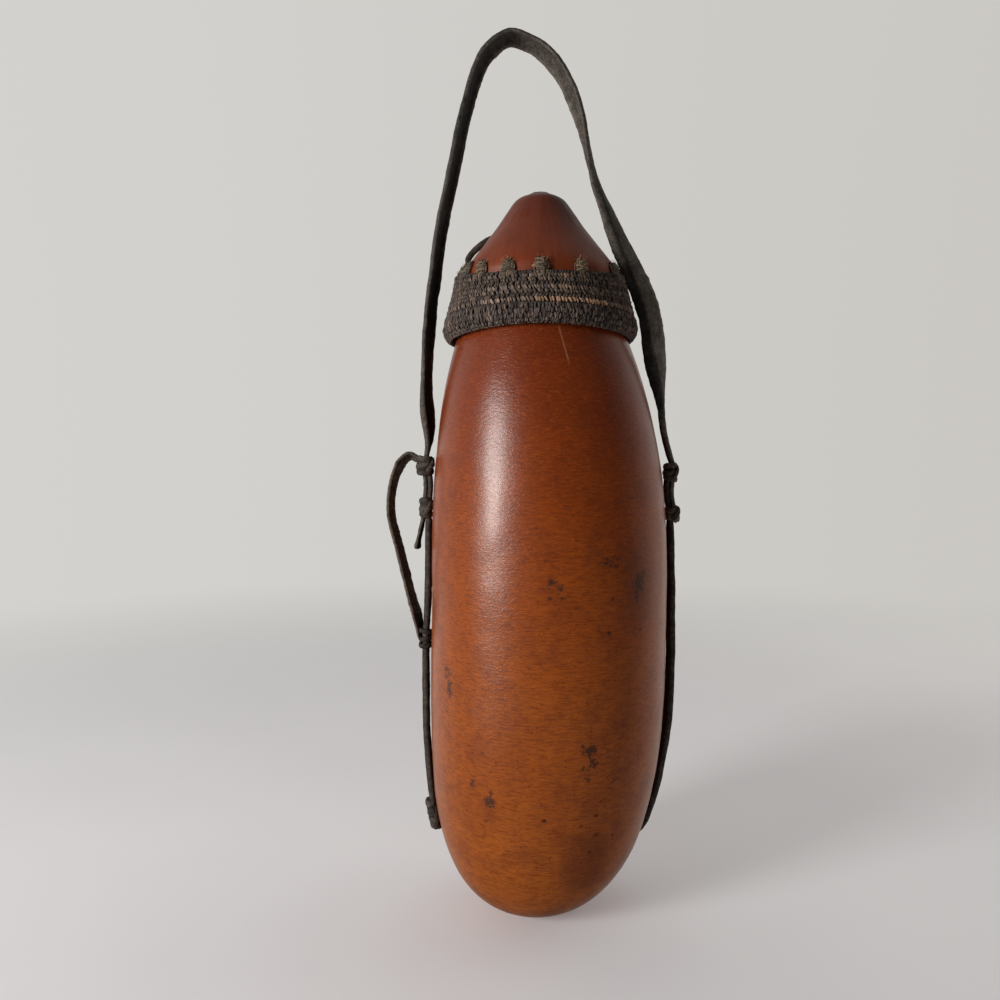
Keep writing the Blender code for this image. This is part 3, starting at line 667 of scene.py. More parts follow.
def make_body(material):
    shape = Shape()
    segments, outer_steps, inner_steps = 176, 210, 44
    rings = [shape.ring([Vector((0, 0, 0))])]
    for i in range(outer_steps + 1):
        z = RIM_HEIGHT * 0.5 * (1 - math.cos(math.pi * i / outer_steps))
        share = smooth(z, 0.004, 0.04) * (1 - smooth(z, 0.245, 0.252))
        ring = []
        for azimuth in full_turn(segments):
            off = share * wavy(azimuth, z, ((20, 0.00050), (55, 0.00022), (150, 0.00007)))
            ring.append(around(lean(z), azimuth, body_radius(z) + off, z))
        rings.append(shape.ring(ring))
    for i in range(inner_steps):
        z = FLOOR_WALL + (RIM_HEIGHT - FLOOR_WALL) * 0.5 * (1 + math.cos(math.pi * i / inner_steps))
        ring = [around(lean(z), turn, hollow_radius(z), z) for turn in full_turn(segments)]
        rings.append(shape.ring(ring))
    rings.append(shape.ring([Vector((lean(FLOOR_WALL), 0, FLOOR_WALL))]))
    shape.chain(rings)
    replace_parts(shape.build("body_shell", material, "gourd"), "gourd_body")


def make_lid(material):
    shape = Shape()
    segments = 144
    outer = spline_rows(LID_OUTLINE, 88)
    scar = [
        (0.0053, LID_TOP - 0.0008, 0.2), (SCAR_RADIUS + 0.0001, LID_TOP - 0.0006, 0.8),
        (SCAR_RADIUS - 0.0003, LID_TOP - 0.00025, 1.0), (0.0038, LID_TOP - 0.0001, 1.0),
        (0.0028, LID_TOP - 0.00015, 0.9), (0.0018, LID_TOP - 0.0003, 1.0), (0.0010, LID_TOP - 0.0003, 0.9),
    ]
    inner = []
    for i in range(0, len(outer) - 8, 4):
        ahead, behind = outer[i + 1], outer[max(i - 1, 0)]
        along = Vector((ahead[0] - behind[0], ahead[1] - behind[1])).normalized()
        inner.append((outer[i][0] - LID_WALL * along.y, outer[i][1] + LID_WALL * along.x, 0.3))
    rings = [shape.ring([Vector((HEAD_X, 0, inner[-1][1] + 0.0012))], 0.3)]
    for r, z, pale in inner[::-1] + [(r, z, 0.0) for r, z in outer[:-1]] + scar:
        outside = z > outer[0][1] and (r, z, pale) not in inner
        share = 1.0 if outside and r > 0.006 else 0.0
        ring = []
        for azimuth in full_turn(segments):
            off = share * wavy(azimuth, z, ((40, 0.00032), (120, 0.00012)))
            off += share * 0.00016 * math.sin(5 * azimuth + 0.8) * smooth(z, 0.285, 0.303)
            if r < 0.0052 and pale > 0.5:
                off = 0.00010 * noise.noise(outward_at(azimuth) * 2.0 + Vector((0, 0, r * 900)))
            ring.append(around(HEAD_X, azimuth, r + off, z + (off if pale > 0.5 else 0.0)))
        rings.append(shape.ring(ring, pale))
    rings.append(shape.ring([Vector((HEAD_X, 0, LID_TOP - 0.0005))], 1.0))
    shape.chain(rings)
    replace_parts(shape.build("lid_shell", material, "lid"), "gourd_lid")


# Collar

def collar_top(azimuth):
    return COLLAR_TOP_FRONT + COLLAR_TOP_RISE * math.sin(azimuth) ** 4


def hem_top(azimuth):
    return HEM_TOP_FRONT + 0.0005 * math.sin(azimuth) ** 4 - 0.0004 * math.sin(azimuth)


def collar_rows(azimuth):
    """The collar's section at an azimuth: rows of radius and height down the outside and up the inside."""
    top = collar_top(azimuth)
    middle = 0.5 * (top + HEM_ZONE)
    hem = [row for row in COLLAR_OUTLINE if row[1] <= HEM_ZONE]
    lift = COLLAR_HEM_FRONT - COLLAR_HEM_DROP * math.sin(azimuth) ** 2 - hem[-1][1]
    rows = [(curve_radius(COLLAR_OUTLINE, z), z) for z in (top, middle)]
    for radius, z in (*hem, *COLLAR_INSIDE):
        rows.append((radius, z + lift * clamp((HEM_ZONE - z) / HEM_EASE)))
    return rows


def collar_skin(azimuth, z):
    """The collar's outside radius at a height."""
    return curve_radius(collar_rows(azimuth)[:len(COLLAR_OUTLINE) - 1], z)


def make_collar_sleeve(material):
    shape = Shape()
    steps = 40
    rings = []
    for azimuth in full_turn(252):
        rows = collar_rows(azimuth)
        top = rows[0][1]
        rows = [(0.0353, top - 0.0002), (0.0358, top + 0.0003), *rows, (0.0353, top - 0.003)]
        ring = []
        for k, (r, z) in enumerate(spline_rows(rows, steps)):
            outside = k < steps * 0.62
            spot = Vector((math.sin(azimuth) * 90, math.cos(azimuth) * 90, z * 2200))
            grit = 0.00018 * noise.noise(spot)
            ring.append(around(HEAD_X, azimuth, r - (0.00045 if outside else 0.0) + grit, z))
        rings.append(shape.ring(ring, 0.10))
    shape.chain(rings, closed=True)
    return shape.build("collar_sleeve", material, "fibre")


# Twined rows: share of the height from the hem's top to the collar's top, number of stitches,
# stitch height and width in mm, lean in mm, usual paleness, and patches of azimuth from, to,
# share of stitches, paleness and warmth
TWINED_ROWS = (
    (0.115, 186, 2.05, 1.10, -0.45, 0.36, (
        (-37, -20, 0.7, 0.62, 0.15), (-20, -6, 0.5, 0.50, 0.4), (-5, 12, 0.75, 0.68, 0.75),
        (12, 38, 0.9, 0.82, 0.80), (38, 70, 0.5, 0.50, 0.7), (150, 200, 0.6, 0.6, 0.6))),
    (0.240, 194, 1.6, 1.05, 0.40, 0.20, ((-75, -40, 0.3, 0.36, 0.3),)),
    (0.365, 190, 1.75, 1.05, -0.42, 0.28, ((-40, -10, 0.3, 0.44, 0.2), (8, 40, 0.3, 0.40, 0.6))),
    (0.490, 186, 1.9, 1.10, -0.45, 0.30, (
        (-40, -18, 0.4, 0.48, 0.1), (-16, -2, 0.5, 0.52, 0.2), (-2, 27, 0.5, 0.58, 0.55),
        (100, 140, 0.4, 0.5, 0.5), (230, 270, 0.4, 0.45, 0.5))),
    (0.610, 194, 1.6, 1.00, 0.38, 0.20, ((-75, -45, 0.35, 0.34, 0.6),)),
    (0.730, 190, 1.7, 1.05, -0.40, 0.26, ((-30, 10, 0.3, 0.42, 0.3),)),
    (0.850, 186, 1.8, 1.10, -0.42, 0.26, (
        (-50, -28, 0.3, 0.42, 0.2), (-14, -1, 0.65, 0.60, 0.25), (-1, 3, 0.2, 0.3, 0.2),
        (3, 15, 0.5, 0.52, 0.8), (180, 215, 0.5, 0.5, 0.4))),
    (0.960, 190, 1.4, 1.00, 0.32, 0.17, ()),
)


def make_collar_twining(material):
    draw = random.Random(11)
    shape = Shape()
    for share, count, tall, wide, slant, usual, patches in TWINED_ROWS:
        for i in range(count):
            azimuth = 2 * math.pi * (i + share * 3 + draw.uniform(-0.30, 0.30)) / count
            degrees = (math.degrees(azimuth) + 90) % 360 - 90
            pale, warm = usual + draw.uniform(-0.12, 0.14), draw.uniform(0.1, 0.5)
            for start, end, chance, patch_pale, patch_warm in patches:
                if start <= degrees < end and draw.random() < chance:
                    pale = patch_pale + draw.uniform(-0.16, 0.12)
                    warm = patch_warm + draw.uniform(-0.15, 0.15)
            middle = hem_top(azimuth) + share * (collar_top(azimuth) - hem_top(azimuth))
            stretch = (collar_top(azimuth) - hem_top(azimuth)) / TWINING_HEIGHT
            high = tall * MM * 0.5 * stretch * draw.uniform(0.80, 1.18)
            middle += draw.uniform(-0.16, 0.16) * MM
            tilt, proud = draw.uniform(0.3, 1.7), draw.uniform(-0.12, 0.16)
            path, normals = [], []
            for s in (-1.0, -0.55, 0.0, 0.55, 1.0):
                turn = azimuth + slant * MM * s / TWINING_RADIUS * tilt
                z = middle + high * s
                rise = (-0.12 + proud + 0.46 * math.cos(s * math.pi / 2)) * MM
                path.append(around(HEAD_X, turn, collar_skin(turn, z) + rise, z))
                normals.append(outward_at(turn))
            width = wide * MM * draw.uniform(0.74, 1.12)
            shape.tube(path, normals, width, 0.80 * MM, clamp(pale), clamp(warm))
            if draw.random() < 0.6:
                add_stray(shape, draw, path, normals, (0.6, 1.9), 0.12, pale, 0.3)
    shape.build("collar_twining", material, "fibre")


def make_collar_hem(material):
    """Five rows of fine wrapping round the rolled hem."""
    draw = random.Random(23)
    shape = Shape()
    count = 292
    shares = ((0.00, 0.17), (0.14, 0.31), (0.28, 0.46), (0.43, 0.64), (0.60, 1.0))
    for row, (from_share, to_share) in enumerate(shares):
        for i in range(count):
            azimuth = 2 * math.pi * (i + 0.5 * row + draw.uniform(-0.28, 0.28)) / count
            section = collar_rows(azimuth)[3:10]
            section[0] = (collar_skin(azimuth, hem_top(azimuth)), hem_top(azimuth))
            lean_across = draw.uniform(-0.16, 0.20) * MM / HEM_RADIUS
            shift, proud = draw.uniform(-0.035, 0.035), draw.uniform(-0.10, 0.14)
            path, normals = [], []
            steps = 5 if row < 4 else 8
            for k in range(steps):
                share = from_share + shift + (to_share - from_share) * k / (steps - 1)
                u = (len(section) - 1) * max(0.0, share) * 0.82
                r, z = spline(section, u)
                ahead, behind = spline(section, min(u + 0.1, 5.9)), spline(section, max(u - 0.1, 0.0))
                along = Vector((ahead[0] - behind[0], ahead[1] - behind[1])).normalized()
                turn = azimuth + lean_across * k
                normal = (outward_at(turn) * -along.y + Vector((0, 0, along.x))).normalized()
                swell = (0.50 * math.sin(math.pi * k / (steps - 1)) - 0.05 + proud if row < 4 else 0.22) * MM
                path.append(around(HEAD_X, turn, r, z) + normal * swell)
                normals.append(normal)
            pale = 0.20 + draw.uniform(-0.14, 0.18) + (0.16 if draw.random() < 0.14 else 0.0)
            width = 0.87 * MM * draw.uniform(0.78, 1.12)
            shape.tube(path, normals, width, 0.70 * MM, clamp(pale), draw.uniform(0.0, 0.45), ends=0.35)
            if row < 4 and draw.random() < 0.6:
                add_stray(shape, draw, path, normals, (0.5, 1.6), 0.11, pale, 0.2)
    shape.build("collar_hem", material, "fibre")


# Azimuths in degrees of the stitches that the photo shows, and the count of those round the back
STITCHES = (-82, -63, -45, -24, -2, 25, 59)
HIDDEN_STITCHES = 8
# One bright bead of fibre: azimuth in degrees and height
FLECK = (-6.5, 0.2742)


def make_lashing(material):
    """The thread stitches that tie the collar to the lid, each a bundle of loops."""
    draw = random.Random(7)
    first, last = STITCHES[-1], STITCHES[0] + 360
    spacing = (last - first) / (HIDDEN_STITCHES + 1)
    hidden = [first + spacing * (i + 1) + draw.uniform(-2, 2) for i in range(HIDDEN_STITCHES)]
    shape = Shape()
    lid_rows = spline_rows(LID_OUTLINE, 40)
    for degrees in (*STITCHES, *hidden):
        middle = math.radians(degrees)
        top = collar_top(middle)
        warm = draw.uniform(0.15, 0.5)
        for k in range(7):
            offset = (k - 3) * 0.72 + draw.uniform(-0.18, 0.18)
            reach = (6.2 - 0.24 * (k - 3) ** 2 + draw.uniform(-0.5, 0.3)) * MM
            sway = draw.uniform(-0.5, 0.5)
            path, normals = [], []
            for s in (-0.36, -0.1, 0.15, 0.4, 0.65, 0.88, 1.0):
                fan = offset * (1.0 + 0.30 * math.sin(math.pi * clamp(s))) + sway * s * s * (1 - s)
                turn = middle + fan * MM / LID_EDGE_RADIUS
                z = top + reach * s
                radius = curve_radius(lid_rows, z) if s > 0 else collar_skin(turn, z)
                tucked = 0.9 if s == 1.0 else 0.0
                rise = (0.45 + 1.3 * math.sin(math.pi * clamp(0.12 + 0.8 * s)) - tucked) * MM
                rise *= 1 - 0.06 * (k - 3) ** 2
                path.append(around(HEAD_X, turn, radius + rise, z))
                normals.append(outward_at(turn))
            pale = clamp(0.42 + draw.uniform(-0.18, 0.24))
            shape.tube(path, normals, 0.80 * MM, 0.70 * MM, pale, warm)
        for k in range(5):
            z_mid = top + (0.2 + 1.05 * k + draw.uniform(-0.3, 0.3)) * MM
            half = 2.85 * math.sqrt(1 - ((k - 1.8) / 3.2) ** 2) + draw.uniform(-0.25, 0.15)
            slope = draw.uniform(-0.45, 0.75)
            path, normals = [], []
            for s in (-1.0, -0.8, -0.4, 0.0, 0.4, 0.8, 1.0):
                turn = middle + half * s * MM / LID_EDGE_RADIUS
                z = z_mid + slope * s * MM + draw.uniform(-0.10, 0.10) * MM
                rise = (0.15 + 2.0 * math.cos(s * math.pi * 0.46) ** 0.6) * MM
                path.append(around(HEAD_X, turn, curve_radius(lid_rows, z) + rise, z))
                normals.append(outward_at(turn))
            pale = clamp(0.42 + draw.uniform(-0.20, 0.26))
            shape.tube(path, normals, 0.62 * MM, 0.6 * MM, pale, warm)
        for _ in range(80):
            aside, z = draw.uniform(-2.8, 2.8), top + draw.uniform(0.2, 6.0) * MM
            turn = middle + aside * MM / LID_EDGE_RADIUS
            proud = (2.0 - 0.15 * aside * aside) * MM
            start = around(HEAD_X, turn, curve_radius(lid_rows, z) + proud, z)
            pale, length = draw.uniform(0.35, 0.85), draw.uniform(0.7, 1.8) * MM
            add_hair(shape, draw, start, outward_at(turn), length, 0.22 * MM, pale, warm)
    place, bead = math.radians(FLECK[0]), []
    for s in (-1.0, -0.3, 0.4, 1.0):
        turn = place + 0.75 * s * MM / FLECK_RADIUS
        z = FLECK[1] + 0.35 * s * MM
        bead.append(around(HEAD_X, turn, curve_radius(lid_rows, z) + 1.0 * MM, z))
    shape.tube(bead, [outward_at(place)] * 4, 1.0 * MM, 0.9 * MM, 0.72, 1.0, sides=8)
    shape.build("collar_lashing", material, "fibre")


def add_hair(shape, draw, start, outward, length, width, pale, warm):
    """A short bent fibre that starts in the piece and stands off it."""
    side = Vector((draw.uniform(-1, 1), draw.uniform(-1, 1), draw.uniform(-1, 1)))
    lie = (side - outward * side.dot(outward)).normalized()
    path = []
    for k in range(4):
        u = k / 3
        path.append(start + (outward * (0.5 * u - 0.3 * u * u) + lie * (0.75 * u)) * length)
    widths = [width, width, width * 0.8, width * 0.5]
    shape.tube(path, [outward + lie * 0.1] * 4, widths, width, pale, warm, sides=3)


def add_stray(shape, draw, path, normals, lengths, width, pale, warm):
    """A fibre that stands off a stitch. Its lengths and width are in mm."""
    start = path[2] + normals[2] * (0.2 * MM)
    length = draw.uniform(*lengths) * MM
    add_hair(shape, draw, start, normals[2], length, width * MM, clamp(pale + 0.2), warm)


# Straps

def stations_on(points, rows, sides_at):
    """Stations along a strap: point, across, outer face, width and thickness.

    The rows end with the width and thickness in mm. sides_at gives the two directions at a point
    from its number and the strap's own direction there.
    """
    stations = []
    for i, (point, row) in enumerate(zip(points, rows)):
        across, face = sides_at(i, heading(points, i))
        stations.append((point, across, face, row[-2] * MM, row[-1] * MM))
    return stations


def flat_stations(route, steps):
    """Stations along a route whose straps lie level with the Y axis, apart from their turn."""
    rows = spline_rows(route, steps)

    def sides_at(i, along):
        level = (BACK - along * BACK.dot(along)).normalized()
        turn = math.radians(rows[i][3])
        across = level * math.cos(turn) + along.cross(level) * math.sin(turn)
        return across, along.cross(across)

    return stations_on([Vector(row[:3]) * MM for row in rows], rows, sides_at)


def sling_stations(steps):
    rows = spline_rows(SLING_ROUTE, steps)
    placed = [body_point(math.radians(az), z * MM, off * MM) for az, z, off, _, _ in rows]

    def sides_at(i, along):
        across = along.cross(placed[i][1]).normalized()
        return across, across.cross(along)

    return stations_on([point for point, _ in placed], rows, sides_at)


def lid_loop_stations(steps):
    azimuth = math.radians(LID_LOOP_AZIMUTH)
    across = Vector((math.cos(azimuth), math.sin(azimuth), 0))
    lid_rows = spline_rows(LID_OUTLINE, 40)
    rows = spline_rows(LID_LOOP_ROUTE, steps)
    points = []
    for z, off, _, _ in rows:
        points.append(around(HEAD_X, azimuth, curve_radius(lid_rows, z * MM) + off * MM, z * MM))
    return stations_on(points, rows, lambda i, along: (across, across.cross(along)))


def sweep_hide(shape, stations, seed, curl, tone, ragged, sheet, fuller, swell=None):
    """A strip of stiff hide: its edges curl away from its outer face, and it is worn along them.

    The raggedness of its edges and the thickness of its sheet are in mm. tone gives paleness and
    warmth from the share of the way along, whether a point is inside, and its place across from
    -1 to 1. swell gives how much fuller the strip is at a share of the way along.
    """
    def drift(run, scale, k):
        return noise.noise(Vector((run * scale, seed * 5.7 + k, 0.4)))

    half_points = 13
    rings = []
    lengths = [0.0]
    for (a, *_), (b, *_) in zip(stations, stations[1:]):
        lengths.append(lengths[-1] + (b - a).length)
    for i, (point, across, face, width, thick) in enumerate(stations):
        run = lengths[i]
        share = run / lengths[-1]
        extra = swell(share) if swell else 1.0
        thick *= fuller * extra
        wide = width * extra * (1 + 0.09 * drift(run, 90, 1) + 0.06 * drift(run, 260, 9))
        leaf = min(sheet * extra * MM, thick * 0.72)
        depth = (thick - leaf) * curl * (1 + 0.35 * drift(run, 70, 2))
        fold = 0.25 * drift(run, 45, 3)
        from_end = min(run, lengths[-1] - run) / (0.5 * width)
        blunt = max(0.3, math.sqrt(1 - (1 - from_end) ** 2)) if from_end < 1 else 1.0
        wide, leaf = wide * blunt, leaf * max(0.5, blunt)
        crease = 0.22 * MM * max(0.0, drift(run, 330, 7) - 0.15)
        outer, inner = [], []
        for k in range(half_points):
            u = -1 + 2 * k / (half_points - 1)
            bend = abs(u - fold * (1 - u * u)) ** 2.2
            ripple = Vector((run * 620, seed * 3.1 + (9 if u > 0 else 0), 2.2))
            fray = noise.noise(ripple) + 0.8 * noise.noise(ripple * 0.31)
            frayed = ragged * MM * fray * abs(u) ** 4
            spot = Vector((run * 260, u * width * 260, seed))
            rough = 0.13 * MM * noise.noise(spot) + 0.07 * MM * noise.noise(spot * 3.3)
            rough -= crease * (1 - abs(u))
            sideways = across * (u * wide * 0.5 + math.copysign(frayed, u))
            rim, edge = smooth(abs(u), 0.55, 0.80), smooth(abs(u), 0.86, 1.0)
            slim = leaf * (0.82 + 0.46 * rim) * (1 - 0.42 * edge)
            out_by = thick * 0.5 - depth * bend + 0.16 * leaf * rim - 0.26 * leaf * edge + rough
            outer.append((point + sideways + face * out_by, u, False))
            in_rough = 0.09 * MM * noise.noise(spot * 1.7 + Vector((0, 0, 8)))
            inner.append((point + sideways + face * (out_by - slim + in_rough), u, True))
        edge_r = [(0.5 * (outer[-1][0] + inner[-1][0]) + across * (0.16 * leaf), 1.0, False)]
        edge_l = [(0.5 * (outer[0][0] + inner[0][0]) - across * (0.16 * leaf), -1.0, False)]
        ring = outer + edge_r + inner[::-1] + edge_l
        pale, warm = [], []
        for _, u, inside in ring:
            p, w = tone(share, inside, u)
            pale.append(clamp(p + 0.10 * drift(run, 240, 5)))
            warm.append(clamp(w))
        rings.append(shape.ring([row[0] for row in ring], pale, warm))
    shape.chain(rings)


def handle_tone(share, inside, u):
    """Grey faces and rims, with painted light and shade: the inner face is dark, kept near black by painted
    shade down the left leg and lifted by painted light on the right leg past the top; the arch top is
    darkened with painted shade, and the right leg has a painted shadow line along its fold and a band of
    painted shade down its left edge.
    """
    edge = smooth(abs(u), 0.62, 0.85)
    # Inner face: a dark tone of its own, kept near black by painted shade down the left leg, and lifted by
    # painted light on the right leg past the top.
    if inside:
        painted_light_past_top = smooth(share, 0.44, 0.52) * (1 - 0.5 * smooth(share, 0.66, 0.78))
        pale = 0.06 + 0.38 * painted_light_past_top + 0.40 * edge * (1 - 0.4 * painted_light_past_top)
        return pale, 0.25 + 0.05 * painted_light_past_top
    tail = 1 - smooth(share, 0.02, 0.06)
    # The arch's top is darkened with painted shade.
    top = smooth(share, 0.32, 0.40) * (1 - smooth(share, 0.50, 0.58))
    right_leg = smooth(share, 0.58, 0.66)
    # A painted shadow line along the fold down the right leg.
    line = math.exp(-((u + 0.45) / 0.11) ** 2) * right_leg * (1 - smooth(share, 0.75, 0.79))
    # A band of painted shade down the right leg's left edge, below the fold line.
    shaded = (1 - smooth(u, -0.62, -0.34)) * smooth(share, 0.74, 0.78) * (1 - smooth(share, 0.88, 0.91))
    flat = smooth(share, 0.70, 0.76) * (1 - smooth(share, 0.84, 0.89))
    pale = 0.40 + 0.14 * edge - 0.14 * top + 0.14 * right_leg + 0.16 * flat + 0.05 * tail
    return pale - 0.45 * line - 0.62 * shaded, 0.18 + 0.6 * tail


def handle_swell(share):
    """The handle's legs stay wide down to their knots."""
    left = math.exp(-((share - 0.124) / 0.020) ** 2)
    right = math.exp(-((share - 0.862) / 0.026) ** 2)
    return 1 + 0.50 * left + 0.50 * right


def dark_tone(share, inside, u):
    return (0.12 if inside else 0.20) + 0.16 * abs(u) ** 5, 0.55


def thong_tone(share, inside, u):
    return (0.48 if inside else 0.58) + 0.14 * abs(u) ** 4, 0.55


def add_fuzz(shape, stations, draw, count, pale, warm, longest=1.6):
    """Loose fibres along a strap's edges."""
    for _ in range(count):
        point, across, face, width, _ = stations[draw.randrange(2, len(stations) - 2)]
        side = draw.choice((-1, 1))
        start = point + across * (side * width * 0.46)
        outward = (across * side + face * draw.uniform(-0.6, 0.6)).normalized()
        length = draw.uniform(0.5, longest) * MM
        add_hair(shape, draw, start, outward, length, 0.11 * MM, pale, warm)


# Where the handle's ends fray, as a share of its length
TUFTS = (0.112, 0.128, 0.858, 0.872)
HANDLE_STEPS = 900


def add_tufts(shape, stations, draw):
    """Tufts of frayed hide where the handle narrows to its knots."""
    for share in TUFTS:
        point, across, face, width, _ = stations[int(share * HANDLE_STEPS)]
        for _ in range(16):
            side = draw.choice((-1, 1))
            start = point + across * (side * width * draw.uniform(0.25, 0.48))
            start += face * (draw.uniform(-0.8, 0.8) * MM)
            length = draw.uniform(1.2, 3.0) * MM
            add_hair(shape, draw, start, (face * side).normalized(), length, 0.2 * MM, 0.12, 0.4)


def add_wraps(shape):
    """The thong's turns round the side strap."""
    x, y, z = WRAP_CENTRE
    for turn in range(WRAP_TURNS):
        centre = Vector((x, y, z + WRAP_SPACING * turn))
        loop_round(shape, centre, WRAP_RADII, 0.0021, 0.0013, 0.08 * turn, turn, 0.22, 0.4)


def fuzzy_strap(stations, draw, seed, form, fuzz):
    """A strap with loose fibres: its form is for sweep_hide, from the curl on, and its fuzz for add_fuzz."""
    shape = Shape()
    sweep_hide(shape, stations, seed, *form)
    add_fuzz(shape, stations, draw, *fuzz)
    return shape


def make_straps(material):
    draw = random.Random(31)
    handle = flat_stations(HANDLE_ROUTE, HANDLE_STEPS)
    form = (0.95, handle_tone, 0.42, 1.5, 1.0, handle_swell)
    shape = fuzzy_strap(handle, draw, 1, form, (130, 0.4, 0.4))
    add_tufts(shape, handle, draw)
    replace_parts(shape.build("handle_hide", material, "leather"), "handle_strap")

    form = (0.8, dark_tone, 0.26, 2.2, 1.2)
    shape = fuzzy_strap(flat_stations(SIDE_STRAP_ROUTE, 260), draw, 2, form, (26, 0.3, 0.5))
    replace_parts(shape.build("side_hide_left", material, "leather"), "side_strap_left")
    shape = fuzzy_strap(sling_stations(420), draw, 3, form, (40, 0.3, 0.5))
    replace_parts(shape.build("sling_hide", material, "leather"), "sling_strap")

    form = (0.6, thong_tone, 0.42, 1.4, 1.2)
    shape = fuzzy_strap(flat_stations(THONG_ROUTE, 170), draw, 4, form, (60, 0.45, 0.7, 1.2))
    add_wraps(shape)
    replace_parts(shape.build("thong_hide_left", material, "leather"), "thong_loop_left")

    shape = Shape()
    sweep_hide(shape, lid_loop_stations(60), 5, 0.7, dark_tone, 0.2, 2.0, 1.45)
    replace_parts(shape.build("lid_loop_hide", material, "leather"), "lid_loop")


# Knots

def loop_round(shape, centre, radii, wide, thick, tilt, seed, pale, warm, up=Vector((0, 0, 1))):
    """One closed turn of thong round an axis."""
    out = BACK.cross(up).normalized()
    path, normals, widths = [], [], []
    for angle in full_turn(40):
        direction = oval(out, 1, 1, angle)
        bump = 1 + 0.09 * noise.noise(direction * 1.6 + Vector((seed * 2.3, 0, 0)))
        uneven = 0.0002 * noise.noise(direction * 2.4 + Vector((0, seed, 0)))
        rise = up * (tilt * radii[1] * math.sin(angle + seed * 1.9) + uneven)
        path.append(centre + oval(out, *radii, angle) * bump + rise)
        normals.append(direction)
        widths.append(wide * (1 + 0.24 * noise.noise(direction * 2.0 + Vector((0, 0, seed * 3.7)))))
    shape.tube(path, normals, widths, thick, pale, warm, sides=10, closed=True)


def make_knot(material, name, centre, half, lean_degrees, turns, seed):
    """A lumpy core with turns of thong round it, two that cross them, and loose fibres."""
    draw = random.Random(100 + seed)
    shape = Shape()
    tilt = math.radians(lean_degrees)
    up = Vector((-math.sin(tilt), 0, math.cos(tilt)))
    out = BACK.cross(up).normalized()
    middle = Vector(centre) * MM
    hx, hy, hz = (value * MM for value in half)
    core = []
    for i in range(9):
        s = -0.94 + 1.88 * i / 8
        swell = 0.80 * (1 - abs(s) ** 3) ** 0.5 + 0.12
        ring = []
        for angle in full_turn(20):
            spot = Vector((math.cos(angle) * 1.5, math.sin(angle) * 1.5, s * 2 + seed * 4))
            bump = 1 + 0.12 * noise.noise(spot)
            ring.append(middle + up * (hz * s) + oval(out, hx, hy, angle) * (swell * bump))
        core.append(shape.ring(ring, 0.2, 0.5))
    shape.chain(core)
    wide = 2 * hz / turns
    thick = min(1.7 * MM, wide * 0.7)
    for k in range(turns):
        s = -1 + (2 * k + 1) / turns
        shrink = 1 - 0.16 * abs(s) ** 2
        radii = ((hx - thick * 0.45) * shrink, (hy - thick * 0.45) * shrink)
        # Turns on the right-hand knots are paler: painted light lifting them out of the shade on that side.
        pale = clamp((0.40 if centre[0] < 0 else 0.66) + draw.uniform(-0.10, 0.12))
        level, lie = middle + up * (hz * s), draw.uniform(0.10, 0.22)
        loop_round(shape, level, radii, wide * 1.04, thick, lie, seed * 3 + k, pale, 0.35, up)
    for k in range(2):
        start, end = draw.uniform(-1.9, -1.2) + 2.6 * k, draw.uniform(-0.6, 0.0) + 2.6 * k
        path, normals = [], []
        for i in range(13):
            u = i / 12
            angle = start + (end - start) * u
            lift = 0.80 + 0.28 * math.sin(math.pi * u)
            path.append(middle + oval(out, hx, hy, angle) * lift + up * (hz * (-0.85 + 1.7 * u)))
            normals.append(oval(out, 1, 1, angle))
        shape.tube(path, normals, wide * 0.8, thick * 0.8, 0.46, 0.35, sides=8)
    for _ in range(30):
        angle = draw.uniform(0, 2 * math.pi)
        s = draw.uniform(-0.9, 0.9)
        start = middle + oval(out, hx, hy, angle) * 0.95 + up * (hz * s)
        length = draw.uniform(0.6, 1.5) * MM
        add_hair(shape, draw, start, oval(out, 1, 1, angle), length, 0.11 * MM, 0.5, 0.5)
    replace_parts(shape.build(name + "_turns", material, "leather"), name)


# Stage

FLOOR_GLOW = 0.13


def make_floor():
    look = Look("floor_paper")
    tone = look.noise(9, 3, 0.5)
    colour = look.mix(tone, (0.78, 0.77, 0.79), (0.84, 0.83, 0.85))
    glow = {"emission_color": (1.0, 0.985, 1.0, 1.0), "emission_strength": FLOOR_GLOW}
    look.finish(colour, 0.75, specular_ior_level=0.25, **glow)
    radius = look.vector("LENGTH", look.place, (0, 0, 0))
    fade = look.between(radius, 0.22, 1.1)
    clear = look.add("ShaderNodeBsdfTransparent")
    blend = look.add("ShaderNodeMixShader")
    look.feed(blend.inputs[0], fade)
    look.feed(blend.inputs[1], look.shader.outputs[0])
    look.feed(blend.inputs[2], clear.outputs[0])
    look.feed(look.nodes["Material Output"].inputs["Surface"], blend.outputs[0])
    data = bpy.data.meshes.new("floor")
    mesh = bmesh.new()
    bmesh.ops.create_circle(mesh, cap_ends=True, segments=96, radius=1.2)
    mesh.to_mesh(data)
    mesh.free()
    data.materials.append(look.material)
    floor = put("floor", data)
    floor.visible_glossy = False


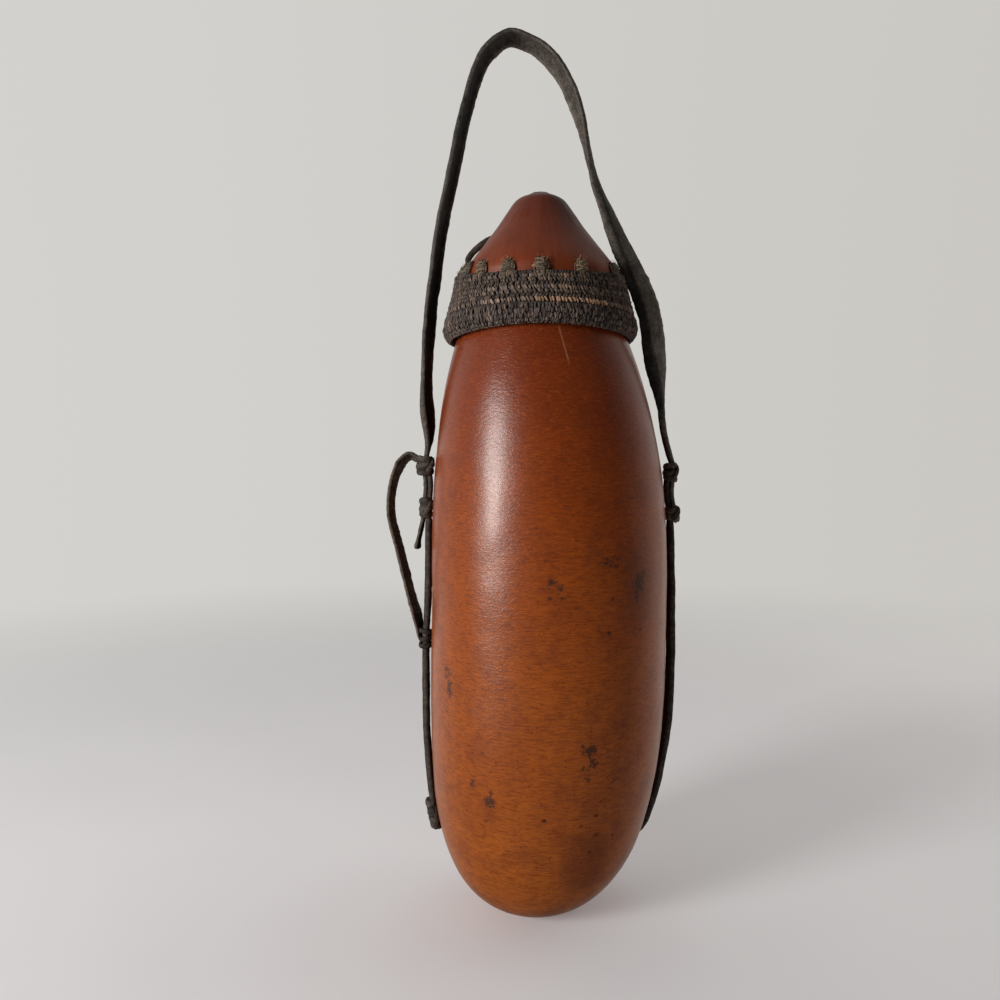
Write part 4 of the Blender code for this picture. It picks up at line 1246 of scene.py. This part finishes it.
def make_world():
    """A grey surround, brighter behind the gourd than before it or below."""
    world = bpy.data.worlds.new("studio")
    world.use_nodes = True
    look = Nodes(world.node_tree, "Generated")
    parts = look.parts()
    across = look.between(parts["X"], -1, 1, kind="LINEAR")
    colour = look.ramp(across, ((0.2, (0.66, 0.65, 0.625)), (0.95, (0.57, 0.55, 0.515))))
    depth = look.between(parts["Y"], -0.35, 0.65, 0.09, 1.0)
    below = look.between(parts["Z"], -0.8, -0.25, 0.15, 1.0, kind="LINEAR")
    background = look.nodes["Background"]
    look.feed(background.inputs["Color"], colour)
    look.feed(background.inputs["Strength"], look.math("MULTIPLY", depth, below))
    bpy.context.scene.world = world
    bpy.context.scene.view_settings.view_transform = "Standard"


def add_light(name, azimuth, height, distance, size, power, colour, diffuse=True, glossy=True):
    """An area light aimed at the middle of the gourd."""
    data = bpy.data.lights.new(name, "AREA")
    data.shape = "RECTANGLE"
    data.size, data.size_y = size
    data.energy = power
    data.color = colour
    light = put(name, data)
    light.visible_diffuse = diffuse
    light.visible_glossy = glossy
    light.location = outward_at(math.radians(azimuth)) * distance + Vector((0, 0, height))
    aimed = Vector((0, 0, AIM_HEIGHT)) - light.location
    light.rotation_euler = aimed.to_track_quat("-Z", "Y").to_euler()


def make_camera():
    data = bpy.data.cameras.new("camera")
    data.sensor_width = 36
    data.lens = CAMERA_LENS
    data.clip_start = 0.01
    camera = put("camera", data)
    camera.location = CAMERA_PLACE
    camera.rotation_euler = (math.radians(CAMERA_TILT), 0, 0)
    bpy.context.scene.camera = camera


make_camera()
make_world()
make_floor()
daylight = (1.0, 0.985, 0.96)
add_light("window", -55, 0.32, 1.0, (0.26, 0.42), 8.4, daylight)
add_light("window_glint", -55, 0.32, 0.99, (0.24, 0.40), 2.6, daylight, diffuse=False)
add_light("wall_bounce", 108, 0.25, 0.9, (0.6, 0.8), 2.0, (1.0, 0.95, 0.88), glossy=False)
make_body(gourd_look())
make_lid(lid_look())
fibre = fibre_look("twined_fibre", (1.0, 0.98, 0.95))
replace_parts(make_collar_sleeve(fibre), "fibre_collar")
make_collar_twining(fibre)
make_collar_hem(fibre)
make_lashing(fibre_look("lashing_thread", (0.68, 0.77, 0.65)))
make_straps(leather_look("hide", 0.0))
knotted = leather_look("knotted_hide", 0.25)
for seed, row in enumerate(KNOTS):
    make_knot(knotted, *row, seed)
